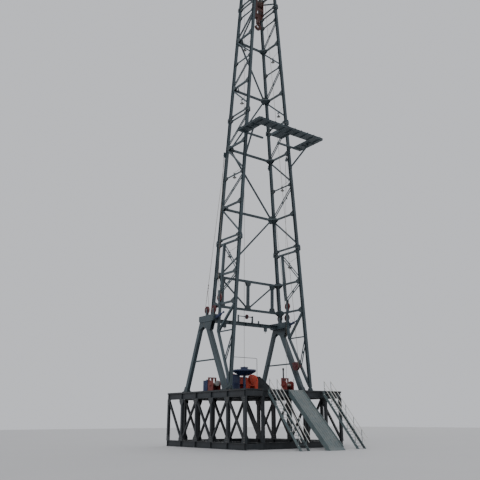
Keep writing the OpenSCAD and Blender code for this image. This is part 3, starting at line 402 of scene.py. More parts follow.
def paint(name, colour, faded, rust=0.5, dust=0.4, rough=(0.38, 0.62)):
    """Weathered paint: faded patches, rain streaks, rust spots and dust on what faces up."""
    f = Finish(name)
    streak = tuple(0.45 * c + 0.02 for c in faded)
    base = f.mix(f.band(f.noise(1.3, 6), 0.38, 0.66), colour, faded)
    base = f.mix(f.times(f.band(f.noise(9, 5, (1, 1, 0.06)), 0.46, 0.72), 0.55), base, streak)
    spots = f.band(f.noise(22, 8), 0.66 - 0.05 * rust, 0.72)
    rusty = f.times(f.times(spots, f.band(f.noise(0.8, 3), 0.42, 0.62)), rust)
    base = f.mix(rusty, base, RUST)
    dirt = f.times(f.upward(), f.band(f.noise(6, 6), 0.3, 0.7))
    base = f.mix(f.times(dirt, dust), base, DUST)
    shine = f.band(f.noise(34, 6), 0, 1, rough)
    return f.done(base, shine, 0, f.maths("ADD", f.noise(55, 4), rusty), 0.25, 0.004)


def deck_plate(name, colour, faded):
    """Raised-pattern floor plate, worn bright and dusty in patches."""
    f = Finish(name)
    waves = [f.node("TexWave", {"Vector": f.place((1, 0.35, 1), (0, 0, turn)), "Scale": 9})
             for turn in (45, -45)]
    heights = [f.band(wave.outputs["Fac"], 0.7, 0.95) for wave in waves]
    pattern = f.times(f.maths("MAXIMUM", *heights), f.upward())
    base = f.mix(f.band(f.noise(1.1, 7), 0.35, 0.68), colour, faded)
    base = f.mix(f.times(pattern, 0.35), base, WORN)
    base = f.mix(f.times(f.band(f.noise(4, 8), 0.58, 0.70), 0.6), base, RUST)
    return f.done(base, f.band(f.noise(7, 5), 0.1, 0.9), 0.25, pattern, 0.5, 0.004)


def wire(name, colour, faded):
    """Stranded wire rope: slanting lays, with the colour darker in their hollows."""
    f = Finish(name)
    waves = f.node("TexWave", {"Vector": f.place(turn=(0, 25, 0)), "Scale": 60, "Distortion": 1.2})
    waves.bands_direction = "Z"
    lay = waves.outputs["Fac"]
    # The colour is darkened to a third of the steel colour where the lay's bumps are lowest.
    base = f.mix(lay, tuple(c * 0.35 for c in colour), colour)
    base = f.mix(f.band(f.noise(1.5, 5), 0.4, 0.7), base, faded)
    return f.done(base, 0.48, 0.7, lay, 0.6, 0.002)


def bare_steel(name, colour, rough=0.35):
    """Machined steel with fine turning marks and a few stains."""
    f = Finish(name)
    base = f.mix(f.band(f.noise(12, 7), 0.5, 0.72), colour, tuple(c * 0.45 for c in colour))
    base = f.mix(f.band(f.noise(30, 6), 0.66, 0.74), base, RUST)
    shine = f.band(f.noise(90, 3, (1, 1, 8)), -0.4 + rough * 0.2, 1.6)
    return f.done(base, shine, 0.85, f.noise(120, 3), 0.12, 0.002)


MAST = paint("mast_paint", (0.024, 0.040, 0.049), (0.044, 0.067, 0.078), rust=0.55, dust=0.25)
PLATE = paint("plate_paint", (0.021, 0.035, 0.043), (0.038, 0.058, 0.067), rust=0.8, dust=0.25)
RED = paint("sheave_paint", (0.060, 0.006, 0.009), (0.085, 0.013, 0.015), rust=0.5, dust=0.12)
CROWN = paint("crown_paint", (0.11, 0.013, 0.012), (0.15, 0.028, 0.022), rust=0.5, dust=0.25)
RAIL = paint("rail_paint", (0.42, 0.42, 0.40), (0.52, 0.51, 0.47), rust=0.6, dust=0.2)
BROWN = paint("block_paint", (0.055, 0.014, 0.010), (0.085, 0.026, 0.018), rust=0.8, dust=0.3)
RAMP = paint("ramp_paint", (0.060, 0.090, 0.098), (0.095, 0.125, 0.128), rust=0.9, dust=0.45)
ORANGE = paint("machine_orange_paint", (0.58, 0.045, 0.018), (0.64, 0.075, 0.032), rust=0.25,
               dust=0.25, rough=(0.28, 0.5))
BLUE = paint("machine_blue_paint", (0.010, 0.020, 0.070), (0.018, 0.034, 0.095), rust=0.25,
             dust=0.3, rough=(0.28, 0.5))
BLACK = paint("floor_paint", (0.007, 0.010, 0.013), (0.014, 0.019, 0.024), rust=0.5, dust=0.3)
DECKING = deck_plate("deck_paint", (0.013, 0.017, 0.020), (0.032, 0.035, 0.037))
ROPE = wire("wire_rope", (0.30, 0.28, 0.25), (0.13, 0.10, 0.075))
STEEL = bare_steel("bare_steel", (0.36, 0.35, 0.34))
IRON = bare_steel("rotary_iron", (0.09, 0.088, 0.085), 0.5)
ZINC = bare_steel("bolt_steel", (0.20, 0.195, 0.18), 0.45)
ENAMEL = paint("lamp_enamel", (0.50, 0.50, 0.46), (0.60, 0.59, 0.54), rust=0.2, dust=0.3,
               rough=(0.15, 0.3))
GREY = paint("machine_grey_paint", (0.16, 0.17, 0.17), (0.22, 0.22, 0.21), rust=0.4, dust=0.3)

SLOT_MATERIALS = {
    "mast_green": MAST, "sheave_red": RED, "crown_red": CROWN, "rail_grey": RAIL,
    "block_brown": BROWN, "ramp_grey": RAMP, "machine_orange": ORANGE, "machine_blue": BLUE,
    "floor_black": BLACK, "wire_rope": ROPE, "rotary_iron": IRON,
}
NODE_MATERIALS = {"floor_deck": DECKING, "line_anchor": RED}


def dress_solids():
    """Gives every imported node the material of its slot, or one of its own."""
    for part in frame["record"]["subparts"]:
        material = NODE_MATERIALS.get(part["node"], SLOT_MATERIALS[part["material_slot"]])
        for place in frame["nodes"][part["node"]].material_slots:
            place.material = material


# Mast

def gusset(plates, bolts, edge, into, through, half, reach, rise, spots):
    """Two plates that clasp a girt from edge, where its leg ends, with bolts at spots.

    into is the girt's way, and through the way across its faces, which are half from its middle.
    """
    thickness, root, tip = 0.010, 0.04, 0.058
    outline = ((0, rise), (root, rise), (reach, tip), (reach, -tip), (root, -rise), (0, -rise))
    for side in SIDES:
        middle = edge + through * (side * (half + 0.006))
        face = middle + through * (side * thickness / 2)
        plates.plate([middle + into * a + UP * b for a, b in outline], through * thickness)
        for a, b in spots:
            bolts.bolt(face + into * a + UP * b, side * through)


def side_gussets(plates, bolts, s, z, half, reach, rise):
    """The gussets at both ends of a girt between a front leg and a rear leg."""
    spots = [(a * reach, b * rise) for a, b in (
        (0.14, 0.76), (0.14, 0.26), (0.14, -0.26), (0.14, -0.76),
        (0.46, 0.25), (0.46, -0.25), (0.80, 0.20), (0.80, -0.20))]
    for corner, way in ((front(s, z), 1), (rear(s, z), -1)):
        edge = corner + BACK * (way * LEG / 2)
        gusset(plates, bolts, edge, way * BACK, RIGHT, half, reach, rise, spots)


def back_gusset(plates, bolts, s, z):
    edge = rear(s, z) - RIGHT * (s * (LEG / 2 + 0.001))
    spots = ((0.025, 0.09), (0.025, 0), (0.025, -0.09), (0.085, 0.035), (0.085, -0.035),
             (0.14, 0.035), (0.14, -0.035))
    gusset(plates, bolts, edge, -s * RIGHT, BACK, (BACK_GIRT - 0.02) / 2, 0.17, 0.12, spots)


def mast_joints(bolts, pins):
    """Bolts round the plates where mast sections meet, and the washers of the ears' pins."""
    rim, face, ear = 0.069, 0.0203, 0.118
    spots = [(side * rim, y) for side, y in product(SIDES, (-0.052, 0, 0.052))]
    spots += [(x, side * rim) for side, x in product(SIDES, (-0.03, 0.03))]
    for z, s in product(JOINTS, SIDES):
        for corner, way in ((front(s, z), -1), (rear(s, z), 1)):
            for (dx, dy), up in product(spots, SIDES):
                bolts.bolt(corner + vec(dx, dy, up * face), up * UP, 0.0075)
            for side in SIDES:
                at = corner + vec(side * 0.054, way * ear, 0)
                pins.lathe(at, side * RIGHT,
                           ((0.030, 0), (0.030, 0.006), (0.024, 0.009), (0.012, 0.009)), 16)
                keeper = at + vec(side * 0.006, 0, 0)
                pins.rod(keeper - UP * 0.036, keeper + UP * 0.036, 0.004, 6)


def mast_details():
    plates, bolts, pins = Shape(), Shape(), Shape()
    for s in SIDES:
        for z in GIRTS:
            side_gussets(plates, bolts, s, z, GIRT / 2, 0.21, 0.145)
        for z in LIGHT_GIRTS:
            side_gussets(plates, bolts, s, z, LIGHT_GIRT / 2, 0.16, 0.11)
        for z, side in product(JOINTS, SIDES):
            half = GIRT / 2 if z == JOINTS[0] else 0.030
            side_gussets(plates, bolts, s, z + side * 0.12, half, 0.16, 0.085)
        for z in GIRTS:
            back_gusset(plates, bolts, s, z)
    mast_joints(bolts, pins)
    piece("mast_gussets", plates, PLATE)
    piece("mast_bolts", bolts, ZINC)
    piece("joint_pin_washers", pins, ZINC)


def back_plates(plates, bolts, at, turn, depths, outline, spots, lean=0.0):
    """Plates on both faces of the back frame, mirrored by turn and leaning with the frame."""
    side, up = turn
    plate_depth, bolt_depth = depths
    for face in SIDES:
        plates.plate([at + vec(side * a, face * plate_depth - up * b * lean, up * b) for a, b in outline],
                     (0, 0.008, 0))
        for a, b in spots:
            bolts.bolt(at + vec(side * a, face * bolt_depth - up * b * lean, up * b), face * BACK)


def back_frame_details():
    """Plates where the back diagonals and the lower posts meet the girts."""
    plates, bolts = Shape(), Shape()
    corner = ((0.10, 0.05), (-0.11, 0.05), (-0.11, 0.09), (-0.01, 0.20), (0.10, 0.20))
    corner_bolts = ((0.05, 0.16), (0.01, 0.13), (0.05, 0.09), (-0.06, 0.08))
    for low, s in ((4, -1), (3, 1), (2, -1), (1, 1), (5, 1)):
        for side, girt, up in ((s, low + 1, -1), (-s, low, 1)):
            z = GIRTS[girt]
            at = vec(side * (leg_x(z) - LEG / 2 - 0.16), rear_y(z), z)
            back_plates(plates, bolts, at, (side, up), (0.039, 0.04329), corner, corner_bolts, 0.03)
    tee = ((-0.15, 0.05), (0.15, 0.05), (0.11, 0.21), (-0.11, 0.21))
    tee_bolts = tuple(product((-0.06, 0, 0.06), (0.09, 0.16)))
    for x, (z, up) in product((-1.48, 0, 1.48), ((GIRTS[0], 1), (GIRTS[1], -1))):
        back_plates(plates, bolts, vec(x, rear_y(z), z), (1, up), (0.045, 0.049), tee, tee_bolts)
    piece("back_frame_plates", plates, PLATE)
    piece("back_frame_bolts", bolts, ZINC)


def leg_details():
    """Short stiffeners inside the legs, as welded between the flanges at every girt."""
    ribs = Shape()
    slope = 0.078
    for s, z in product(SIDES, GIRTS + LIGHT_GIRTS):
        for corner in (front(s, z), rear(s, z)):
            if corner.y > 0 and z == GIRTS[0]:
                continue
            for side, dz in product(SIDES, (-0.05, 0.05)):
                x = corner.x + side * 0.034 - s * dz * slope
                ribs.block((x, corner.y, z + dz - 0.005), (0.052, 0.096, 0.010))
    piece("leg_stiffeners", ribs, PLATE)


def lamps():
    arms, shades, bowls, guards = Shape(), Shape(), Shape(), Shape()
    for s, (z, y) in product(SIDES, LAMPS):
        at = vec(s * leg_x(z), y, z)
        arms.rod(at + UP * 0.02, at + UP * 0.16, 0.008, 8)
        arms.block(at + UP * 0.15, (0.070, 0.10, 0.022))
        arms.tube([at + vec(0, dy, dz) for dy, dz in (
            (0, 0.06), (0.05, 0.10), (0.09, 0.16), (0.10, 0.24))], 0.005, 6)
        shades.lathe(at + UP * 0.055, -UP, (
            (0.020, 0), (0.034, 0.004), (0.036, 0.050), (0.044, 0.056), (0.090, 0.095),
            (0.096, 0.098), (0.096, 0.103), (0.088, 0.101), (0.040, 0.066), (0.020, 0.062)), 20)
        bowls.lathe(at - UP * 0.010, -UP, (
            (0.030, 0), (0.036, 0.012), (0.038, 0.050), (0.030, 0.078), (0.012, 0.090)), 16)
        levels = [around(at - UP * h, UP, r, 6) for r, h in (
            (0.050, 0.012), (0.056, 0.050), (0.046, 0.090), (0.020, 0.110))]
        for wires in zip(*levels):
            guards.tube(wires, 0.0025, 5)
        guards.lathe(at - UP * 0.055, -UP, (
            (0.0575, 0), (0.0600, 0.003), (0.0575, 0.006), (0.0550, 0.003)), 20, closed=True)
    piece("lamp_arms", arms, MAST)
    piece("lamp_shades", shades, PLATE, smooth=True)
    piece("lamp_bowls", bowls, ENAMEL, smooth=True)
    piece("lamp_guards", guards, ZINC)


def conduits():
    """Cable runs that are clipped along the webs of the front legs, with a branch to each lamp."""
    runs, clips = Shape(), Shape()
    low, high, spacing = 0.45, LAMPS[0][0] + 0.5, 0.6
    for s in SIDES:
        offset = vec(-s * 0.014, 0.022, 0)
        runs.rod(front(s, low) + offset, front(s, high) + offset, 0.007, 8)
        for z in row(low + 0.3, spacing, int((high - low) / spacing)):
            clips.block(front(s, z) + offset - UP * 0.008, (0.024, 0.032, 0.016))
        for z, y in LAMPS:
            a = front(s, z + 0.36) + offset
            b = vec(s * leg_x(z), y + 0.10, z + 0.24)
            runs.tube([a, a.lerp(b, 0.3) - UP * 0.03, a.lerp(b, 0.7) - UP * 0.05, b], 0.006, 6)
    piece("conduits", runs, BLACK)
    piece("conduit_clips", clips, ZINC)


def snatch_block():
    """The small pulley that hangs inside the right front leg, with its two falls."""
    shape, line = Shape(), Shape()
    rope_r = 0.005
    shape.tube(arc(PULLEY + UP * 0.14, 0.035, -20, 200, 10), 0.007, 6)
    shape.rod(PULLEY + UP * 0.10, PULLEY + UP * 0.24, 0.008, 8)
    shape.block(PULLEY + vec(0, -0.06, 0.23), (0.06, 0.16, 0.03))
    for side in SIDES:
        shape.lathe(PULLEY + RIGHT * (side * 0.018), side * RIGHT,
                    ((0.02, 0), (0.085, 0), (0.085, 0.007), (0.02, 0.010)), 18)
        shape.block(PULLEY + RIGHT * (side * 0.0215), (0.007, 0.056, 0.14))
    shape.lathe(PULLEY - RIGHT * 0.016, RIGHT,
                ((0.080, 0), (0.064, 0.008), (0.064, 0.024), (0.080, 0.032)), 20)
    line.tube(arc(PULLEY, PULLEY_R, 0, 180, 12), rope_r, 6)
    for side, dx, drop, sides, weight in (
            (1, 0.02, 1.96, 12, ((0.008, 0), (0.022, 0.012), (0.024, 0.09), (0.012, 0.11))),
            (-1, 0.03, 1.105, 10, ((0.006, 0), (0.014, 0.010), (0.014, 0.05), (0.006, 0.06)))):
        end = PULLEY + vec(dx, side * PULLEY_R, -drop)
        line.rod(PULLEY + BACK * (side * PULLEY_R), end, rope_r, 6)
        shape.lathe(end, -UP, weight, sides)
    piece("snatch_block", shape, PLATE, smooth=True)
    piece("snatch_block_line", line, ROPE)


# Racking board

def board_details():
    rims, stubs, bars, ribs = Shape(), Shape(), Shape(), Shape()
    top, low = BOARD_Z, BOARD_Z - BOARD_T
    rear_edge = -0.16
    inner_x, inner_y = BOARD_X - WALK, BOARD_FRONT + WALK
    stub = (0.028, 0.028, 0.055)
    for x in row(-1.80, 0.40, 10):
        stubs.block((x, BOARD_FRONT + 0.018, top), stub)
    for s, y in product(SIDES, row(BOARD_FRONT + 0.30, 0.40, 4)):
        stubs.block((s * (BOARD_X - 0.018), y, top), stub)
    spacing, bar_w, bar_h = 0.06, 0.008, 0.008
    for x in row(-BOARD_X + 0.05, spacing, int((2 * BOARD_X - 0.08) / spacing) + 1):
        bars.box((x - bar_w / 2, BOARD_FRONT + 0.045, top), (x + bar_w / 2, inner_y - 0.02, top + bar_h))
    near, far = inner_x + 0.02, BOARD_X - 0.045
    for s, y in product(SIDES, row(inner_y + 0.03, spacing, int((rear_edge - inner_y) / spacing))):
        bars.block((s * (near + far) / 2, y, top), (far - near, bar_w, bar_h))
    for x, y in ((BOARD_X, BOARD_FRONT), (inner_x, inner_y)):
        for a, b in (((-x, y), (x, y)), ((-x, y), (-x, rear_edge)), ((x, y), (x, rear_edge))):
            for z in (low + 0.004, top - 0.006):
                rims.bar((*a, z), (*b, z), 0.030, 0.014, UP)
    rib_w, rib_h = 0.04, 0.035
    for x in row(-1.76, 0.44, 9):
        ribs.box((x - rib_w / 2, BOARD_FRONT + 0.02, low - rib_h), (x + rib_w / 2, inner_y - 0.02, low))
    for s, y in product(SIDES, row(-1.20, 0.42, 3)):
        ribs.block((s * (BOARD_X - WALK / 2), y, low - rib_h), (WALK - 0.04, rib_w, rib_h))
    piece("board_rims", rims, PLATE)
    piece("board_edge_stubs", stubs, MAST)
    piece("board_grating", bars, PLATE)
    piece("board_ribs", ribs, MAST)


def diving_board_details():
    lips, strips = Shape(), Shape()
    x0, x1 = -0.38, 0.30
    y0, y1 = BOARD_FRONT + WALK, BOARD_FRONT + WALK + 0.64
    z = BOARD_Z - BOARD_T + 0.04
    lip_t, lip_h = 0.016, 0.045
    for x in (x0, x1 - lip_t):
        lips.box((x, y0, z), (x + lip_t, y1, z + lip_h))
    lips.box((x0, y1 - lip_t, z), (x1, y1, z + lip_h))
    for y in row(y0 + 0.05, 0.065, 9):
        strips.box((x0 + 0.03, y - 0.012, z), (x1 - 0.03, y + 0.012, z + 0.004))
    for x in (x0 + 0.12, x1 - 0.12):
        strips.box((x - 0.02, y0 - 0.01, z - 0.062), (x + 0.02, y1 - 0.04, z - 0.040))
    piece("diving_board_lips", lips, PLATE)
    piece("diving_board_strips", strips, PLATE)


# Crown, block and lines

def drilling_line():
    """The strings between crown and block: fixed falls on no body, turns over the crown, and turns under
    the block.
    """
    ring, rope_r = LINE_R - 0.014, 0.008
    falls, over, under = Shape(), Shape(), Shape()
    for x in [PITCH * i for i in range(-2, 3)]:
        for side in SIDES:
            y = WELL_Y + side * ring
            falls.rod((x, y, BLOCK_AXIS), (x, y, CROWN_AXIS), rope_r, 8)
        under.tube(arc((x, WELL_Y, BLOCK_AXIS), ring, -180, 0, 20), rope_r)
    for x in [PITCH * i for i in range(-2, 4)]:
        over.tube(arc((x, WELL_Y, CROWN_AXIS), ring, 0, 180, 20), rope_r)
    over.tube(arc(FAST, ring, 0, 90, 10), rope_r)
    over.rod(Vector(FAST) + UP * ring, (-2 * PITCH, WELL_Y, CROWN_AXIS + ring), rope_r, 8)
    rope = piece("drilling_line_falls", falls, ROPE, body=None, smooth=True)
    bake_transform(rope)
    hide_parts("drilling_lines")
    piece("drilling_line_over_crown", over, ROPE, smooth=True)
    piece("drilling_line_under_block", under, ROPE, "travelling", smooth=True)


def block_details():
    bolts, bands, caps = Shape(), Shape(), Shape()
    plate_bolts = ((0.06, 0.05), (0.12, 0.20), (0.19, 0.36), (0.20, 0.62), (0.20, 0.90), (0.10, 1.03))
    for s in SIDES:
        foot = vec(s * BLOCK_HALF, WELL_Y, BLOCK_LOW)
        axle = vec(s * BLOCK_HALF, WELL_Y, BLOCK_AXIS)
        for (y, z), side in product(plate_bolts, SIDES):
            bolts.bolt(foot + vec(0, side * y, z), s * RIGHT, 0.012, 0.012)
        caps.lathe(axle, s * RIGHT, (
            (0.085, 0), (0.085, 0.014), (0.060, 0.020), (0.052, 0.034), (0.030, 0.034)), 28)
        bolts.bolt_ring(axle + RIGHT * (s * 0.014), s * RIGHT, 0.072, 6, 0.007)
        bands.bar(foot + vec(0, -0.20, 0.44), foot + vec(0, 0.20, 0.44), 0.05, 0.012, RIGHT)
        bands.bar(foot + UP * 0.50, axle - UP * 0.09, 0.06, 0.010, RIGHT)
    neck_r = 0.112
    hook_top = vec(0, WELL_Y, BLOCK_LOW)
    for h in (0.03, 0.15, 0.27):
        caps.lathe(hook_top - UP * h, -UP, (
            (0.105, 0), (neck_r, 0.003), (neck_r, 0.015), (0.105, 0.018)), 32, closed=True)
    for u in spokes(UP, 8, 0.5):
        bolts.bolt(hook_top - UP * 0.159 + u * neck_r, u, 0.007, 0.006)
    caps.tube([(0, WELL_Y + y, HOOK_Z + 0.19 + z) for y, z in (
        (-0.18, 0.13), (-0.17, 0.04), (-0.12, 0.0))], 0.014)
    piece("block_bolts", bolts, ZINC, "travelling")
    piece("block_bands", bands, BROWN, "travelling")
    piece("block_caps", caps, BROWN, "travelling", smooth=True)


def crown_details():
    bars, toes, bolts, guards = Shape(), Shape(), Shape(), Shape()
    top = CROWN_TOP
    x1 = leg_x(MAST_H) + 0.33
    y0, y1 = -0.33, TOP_DEPTH + 0.33
    spacing, half, bar_h = 0.05, 0.003, 0.007
    for x in row(-x1 + 0.05, spacing, int((2 * x1 - 0.06) / spacing)):
        bars.box((x - half, y0 + 0.03, top), (x + half, 0.13, top + bar_h))
        if abs(x - FAST[0]) >= 0.07:
            bars.box((x - half, 1.11, top), (x + half, y1 - 0.03, top + bar_h))
    for y in row(0.16, spacing, int(0.92 / spacing)):
        for a, b in ((-x1 + 0.03, -0.50), (0.34, x1 - 0.03)):
            bars.box((a, y - half, top), (b, y + half, top + bar_h))
    for s in SIDES:
        toes.block((s * (x1 - 0.005), (y0 + y1) / 2, top), (0.006, y1 - y0, 0.075))
    for y in (y0 + 0.005, y1 - 0.005):
        toes.block((0, y, top), (2 * x1, 0.006, 0.075))
    for s, y, dx, dy in product(SIDES, (0, TOP_DEPTH), (-0.07, 0.07), (-0.05, 0.05)):
        bolts.bolt((s * leg_x(MAST_H) + dx, y + dy, MAST_H - 0.02), -UP)
    guard_r = LINE_R + 0.030
    for x in (-0.16, 0.23):
        guards.tube(arc((x, WELL_Y, CROWN_AXIS), guard_r, 20, 160, 18), 0.007, 6)
    for a in (35, 65, 115, 145):
        at = arc((0, WELL_Y, CROWN_AXIS), guard_r, a, a, 1)[0]
        guards.rod(at - RIGHT * 0.20, at + RIGHT * 0.27, 0.006, 6)
    piece("crown_grating", bars, CROWN)
    piece("crown_toe_plates", toes, CROWN)
    piece("crown_bolts", bolts, ZINC)
    piece("crown_rope_guards", guards, RAIL)


# Raising gear

RAISING = (
    ("mast_sheave", "", leg_x(4.01) + 0.062, INNER_Y, 4.01, 0.172),
    ("apex_sheave", "_rear", A_X, 1.875, 3.525, 0.170),
    ("apex_sheave", "_front", A_X, 1.35, 3.505, 0.170),
)


def raising_tail(lines, clips, centre, ring, start, lug):
    """The turn round a sheave and its tail, which is clipped to the line from start to lug."""
    rope_r = 0.009
    up = (lug - start).normalized()
    beside = vec(0, -0.020, 0)
    meet = start + up * 0.85 + beside
    way = meet - centre
    slant = math.degrees(math.atan2(way.z, way.y) + math.acos(ring / math.hypot(way.y, way.z)))
    turn = arc(centre, ring, 4, slant - 360, 26)
    lines.tube(turn + [meet, start + up * 1.22 + beside], rope_r)
    lines.rod(start, start.lerp(lug, 0.0135), rope_r, 8)
    for d in row(0.89, 0.13, 3):
        at = start + up * d + beside / 2
        clips.box(at - vec(0.020, 0.026, 0.011), at + vec(0.020, 0.004, 0.011))
        for x in (-0.013, 0.013):
            clips.rod(at + vec(x, -0.038, 0), at + vec(x, 0.022, 0), 0.004, 6)
        clips.rod(at + vec(-0.017, 0.022, 0), at + vec(0.017, 0.022, 0), 0.004, 6)


def raising_details():
    """Lines under the raising sheaves, each clipped back on itself, with pin caps and hubs."""
    lines, clips, caps = Shape(), Shape(), Shape()
    for s, (name, end, x, y, z, r) in product(SIDES, RAISING):
        centre, ring = vec(s * x, y, z), r - 0.014
        for side in SIDES:
            caps.lathe(centre + RIGHT * (side * 0.043), side * RIGHT, (
                (0.036, 0), (0.036, 0.008), (0.026, 0.012), (0.012, 0.012)), 18)
        if end != "_front":
            outward = 0.10 if name == "mast_sheave" else 0.03
            lug = rear(s, LUG_Z) + vec(s * outward, 0.15, -0.0352)
            raising_tail(lines, clips, centre, ring, centre + BACK * ring, lug)
    piece("raising_line_turns", lines, ROPE, smooth=True)
    piece("raising_line_clips", clips, ZINC)
    piece("sheave_pin_caps", caps, ZINC)


def raising_sheave_spokes():
    """Ribs and a hub ring on each face of the raising sheaves, which turn with them."""
    for s, (name, end, x, y, z, r) in product(SIDES, RAISING):
        node = name + ("_left" if s < 0 else "_right") + end
        ribs = Shape()
        for side in SIDES:
            ribs.ring((s * x + side * 0.0125, y, z), side * RIGHT, 0.033, 0.052, 0.010)
            at = vec(s * x + side * 0.0165, y, z)
            for u in spokes(RIGHT, 6):
                ribs.bar(at + u * 0.050, at + u * (r - 0.040), 0.014, 0.008, RIGHT)
        piece(f"{node}_ribs", ribs, RED, node)


# A-frames

def a_frame_details():
    plates, bolts = Shape(), Shape()
    thickness = (0.010, 0, 0)
    foot_rib = ((-0.15, 0.06), (0.15, 0.06), (0.05, 0.26), (-0.05, 0.26))
    head = ((1.35, 2.99), (2.30, 2.99), (2.40, 2.62), (2.05, 2.80), (1.70, 2.62), (1.50, 2.62))
    head_bolts = ((1.50, 2.92), (1.75, 2.92), (2.0, 2.92), (2.2, 2.92), (1.62, 2.72), (2.27, 2.72))
    for s in SIDES:
        x = s * A_X
        for foot in (0.44, 3.40):
            for dx, dy in product((-0.11, 0.11), (-0.13, 0, 0.13)):
                bolts.bolt((x + dx, foot + dy, 0.06), UP, 0.013, 0.014)
            for side in SIDES:
                plates.plate([(x + side * A_WEB, foot + y, z) for y, z in foot_rib], thickness)
        for y, z in product((1.26, 1.50, 1.80, 2.10, 2.29), (3.09, 3.23)):
            bolts.bolt((s * (A_X + 0.12), y, z), s * RIGHT, 0.011, 0.010)
        for side in SIDES:
            plates.plate([(x + side * (A_WEB + 0.006), y, z) for y, z in head], thickness)
        for y, z in head_bolts:
            bolts.bolt((s * (A_X + A_WEB + 0.011), y, z), s * RIGHT, 0.010, 0.010)
        for y, z in product((1.06, 2.73), (1.315, 1.345)):
            bolts.bolt((s * (A_X + 0.030), y, z), s * RIGHT, 0.008)
    for x, side in product((-1.6, -0.9, 0, 0.9, 1.6), SIDES):
        plates.block((x, BEAM_Y + side * 0.0375, BEAM_LOW + 0.014), (0.012, 0.061, 0.137))
    for s, dy, dz, side in product(SIDES, (-0.04, 0.04), (0.03, 0.09), (1, -1)):
        bolts.bolt((s * BEAM_LUG + side * 0.06, BEAM_Y + dy, BEAM_LOW - dz), side * RIGHT)
    piece("a_frame_plates", plates, PLATE)
    piece("a_frame_bolts", bolts, ZINC)


def beam_details():
    """The small disc on its axle above the cross beam, and the shackles under the beam."""
    disc, collars, shackles = Shape(), Shape(), Shape()
    z = BEAM_TOP + 0.27
    disc.lathe((0.049, BEAM_Y, z), RIGHT, (
        (0.045, 0), (0.100, 0), (0.109, 0.006), (0.109, 0.016), (0.1065, 0.022), (0.1065, 0.040),
        (0.109, 0.046), (0.109, 0.056), (0.100, 0.062), (0.045, 0.062)), 36)
    for side, x in ((-1, 0.049), (1, 0.111)):
        at = vec(x + side * 0.004, BEAM_Y, z)
        for u in spokes(RIGHT, 5):
            disc.bar(at + u * 0.035, at + u * 0.092, 0.014, 0.010, RIGHT)
        collars.lathe((x, BEAM_Y, z), side * RIGHT, (
            (0.021, 0), (0.036, 0), (0.036, 0.030), (0.021, 0.030)), 20)
    for x in (-0.41, 0.40):
        collars.lathe((x - 0.02, BEAM_Y, z), RIGHT, (
            (0.02, 0), (0.032, 0), (0.032, 0.04), (0.02, 0.04)), 20)
        for side in SIDES:
            collars.plate([(x - 0.006, BEAM_Y + side * dy, BEAM_TOP + dz) for dy, dz in (
                (0.045, 0), (0.068, 0), (0.045, 0.12))], (0.010, 0, 0))
    angles = [math.tau * k / 16 for k in range(17)]
    for s in SIDES:
        centre = vec(s * BEAM_LUG, BEAM_Y, BEAM_LOW - 0.205)
        shackles.tube([centre + vec(0, 0.035 * math.cos(a), 0.045 * math.sin(a)) for a in angles], 0.008)
    piece("beam_disc", disc, RED, smooth=True)
    piece("beam_disc_collars", collars, MAST, smooth=True)
    piece("beam_shackles", shackles, ZINC, smooth=True)


def shoe_details():
    """Washers and keepers on the foot pins, and the bolts of the shoes."""
    pins, bolts = Shape(), Shape()
    pin_z, base = 0.13, 0.024
    for s, side in product(SIDES, SIDES):
        x = s * leg_x(pin_z)
        pins.lathe((x + side * 0.0855, 0, pin_z), side * RIGHT, (
            (0.050, 0), (0.050, 0.010), (0.040, 0.016), (0.018, 0.016)), 20)
        pins.block((x + side * 0.110, 0, pin_z - 0.006), (0.008, 0.10, 0.012))
        for y in (-0.12, 0.12):
            bolts.bolt((x + side * 0.12, y, base), UP, 0.013, 0.014)
            pins.plate([(x + side * a, y * 0.55, z) for a, z in (
                (0.075, base), (0.140, base), (0.075, pin_z))], (0, 0.010, 0))
    piece("foot_pins", pins, MAST)
    piece("foot_bolts", bolts, ZINC)


def buffer_details():
    """Glands, caps and hoses of the two cylinders in front of the A-frame heads."""
    caps, hoses = Shape(), Shape()
    for s in SIDES:
        x = s * (A_X - 0.02)
        a, b = vec(x, 1.1998, A_HEAD[0] + 0.13), vec(x, 0.64, 3.28)
        d = (b - a).normalized()
        glands = ((a.lerp(b, 0.07), 0.061), (a.lerp(b, 0.32), 0.058), (a.lerp(b, 0.62) - d * 0.03, 0.064))
        for at, r in glands:
            caps.lathe(at, d, ((0.050, 0), (r, 0.003), (r, 0.026), (0.050, 0.029)), 28)
        caps.lathe(b - d * 0.02, d, ((0.026, 0), (0.040, 0.004), (0.040, 0.024), (0.026, 0.028)), 20)
        for share in (0.12, 0.55):
            p = a.lerp(b, share) + vec(0, 0.02, 0.055)
            end = A_HEAD[1] - share * 0.1
            hoses.tube([p, p + vec(0, 0.02, 0.05), p + vec(-s * 0.05, 0.10, 0.06),
                        (x - s * 0.10, 1.16, end - 0.02), (x - s * 0.16, 1.195, end - 0.06)], 0.008)
    piece("buffer_caps", caps, BLUE, smooth=True)
    piece("buffer_hoses", hoses, BLACK, smooth=True)


# Machinery on the floor

def drum_details():
    rope, rims, bands = Shape(), Shape(), Shape()
    rope.coil(DRUM, DRUM_R + 0.008, 0.505, 0.008)
    for s in SIDES:
        flange = Vector(DRUM) + RIGHT * (s * DRUM_RIM)
        rims.lathe(flange, RIGHT, (
            (0.284, -0.028), (0.288, -0.026), (0.288, 0.026), (0.284, 0.028)), 48, closed=True)
        rims.bolt_ring(flange - RIGHT * (s * 0.030), -s * RIGHT, 0.235, 12, 0.010)
        bands.hoop(flange, 0.294, 0.304, 0.026, -40, 215, 40)
        for a in (20, 75, 130, 185):
            at = arc(flange, 0.308, a, a, 1)[0]
            bands.rod(at - RIGHT * 0.022, at + RIGHT * 0.022, 0.008, 8)
    piece("drum_rope", rope, ROPE, "drum", smooth=True)
    piece("drum_rims", rims, STEEL, "drum", smooth=True)
    piece("drum_brake_bands", bands, IRON, smooth=True)


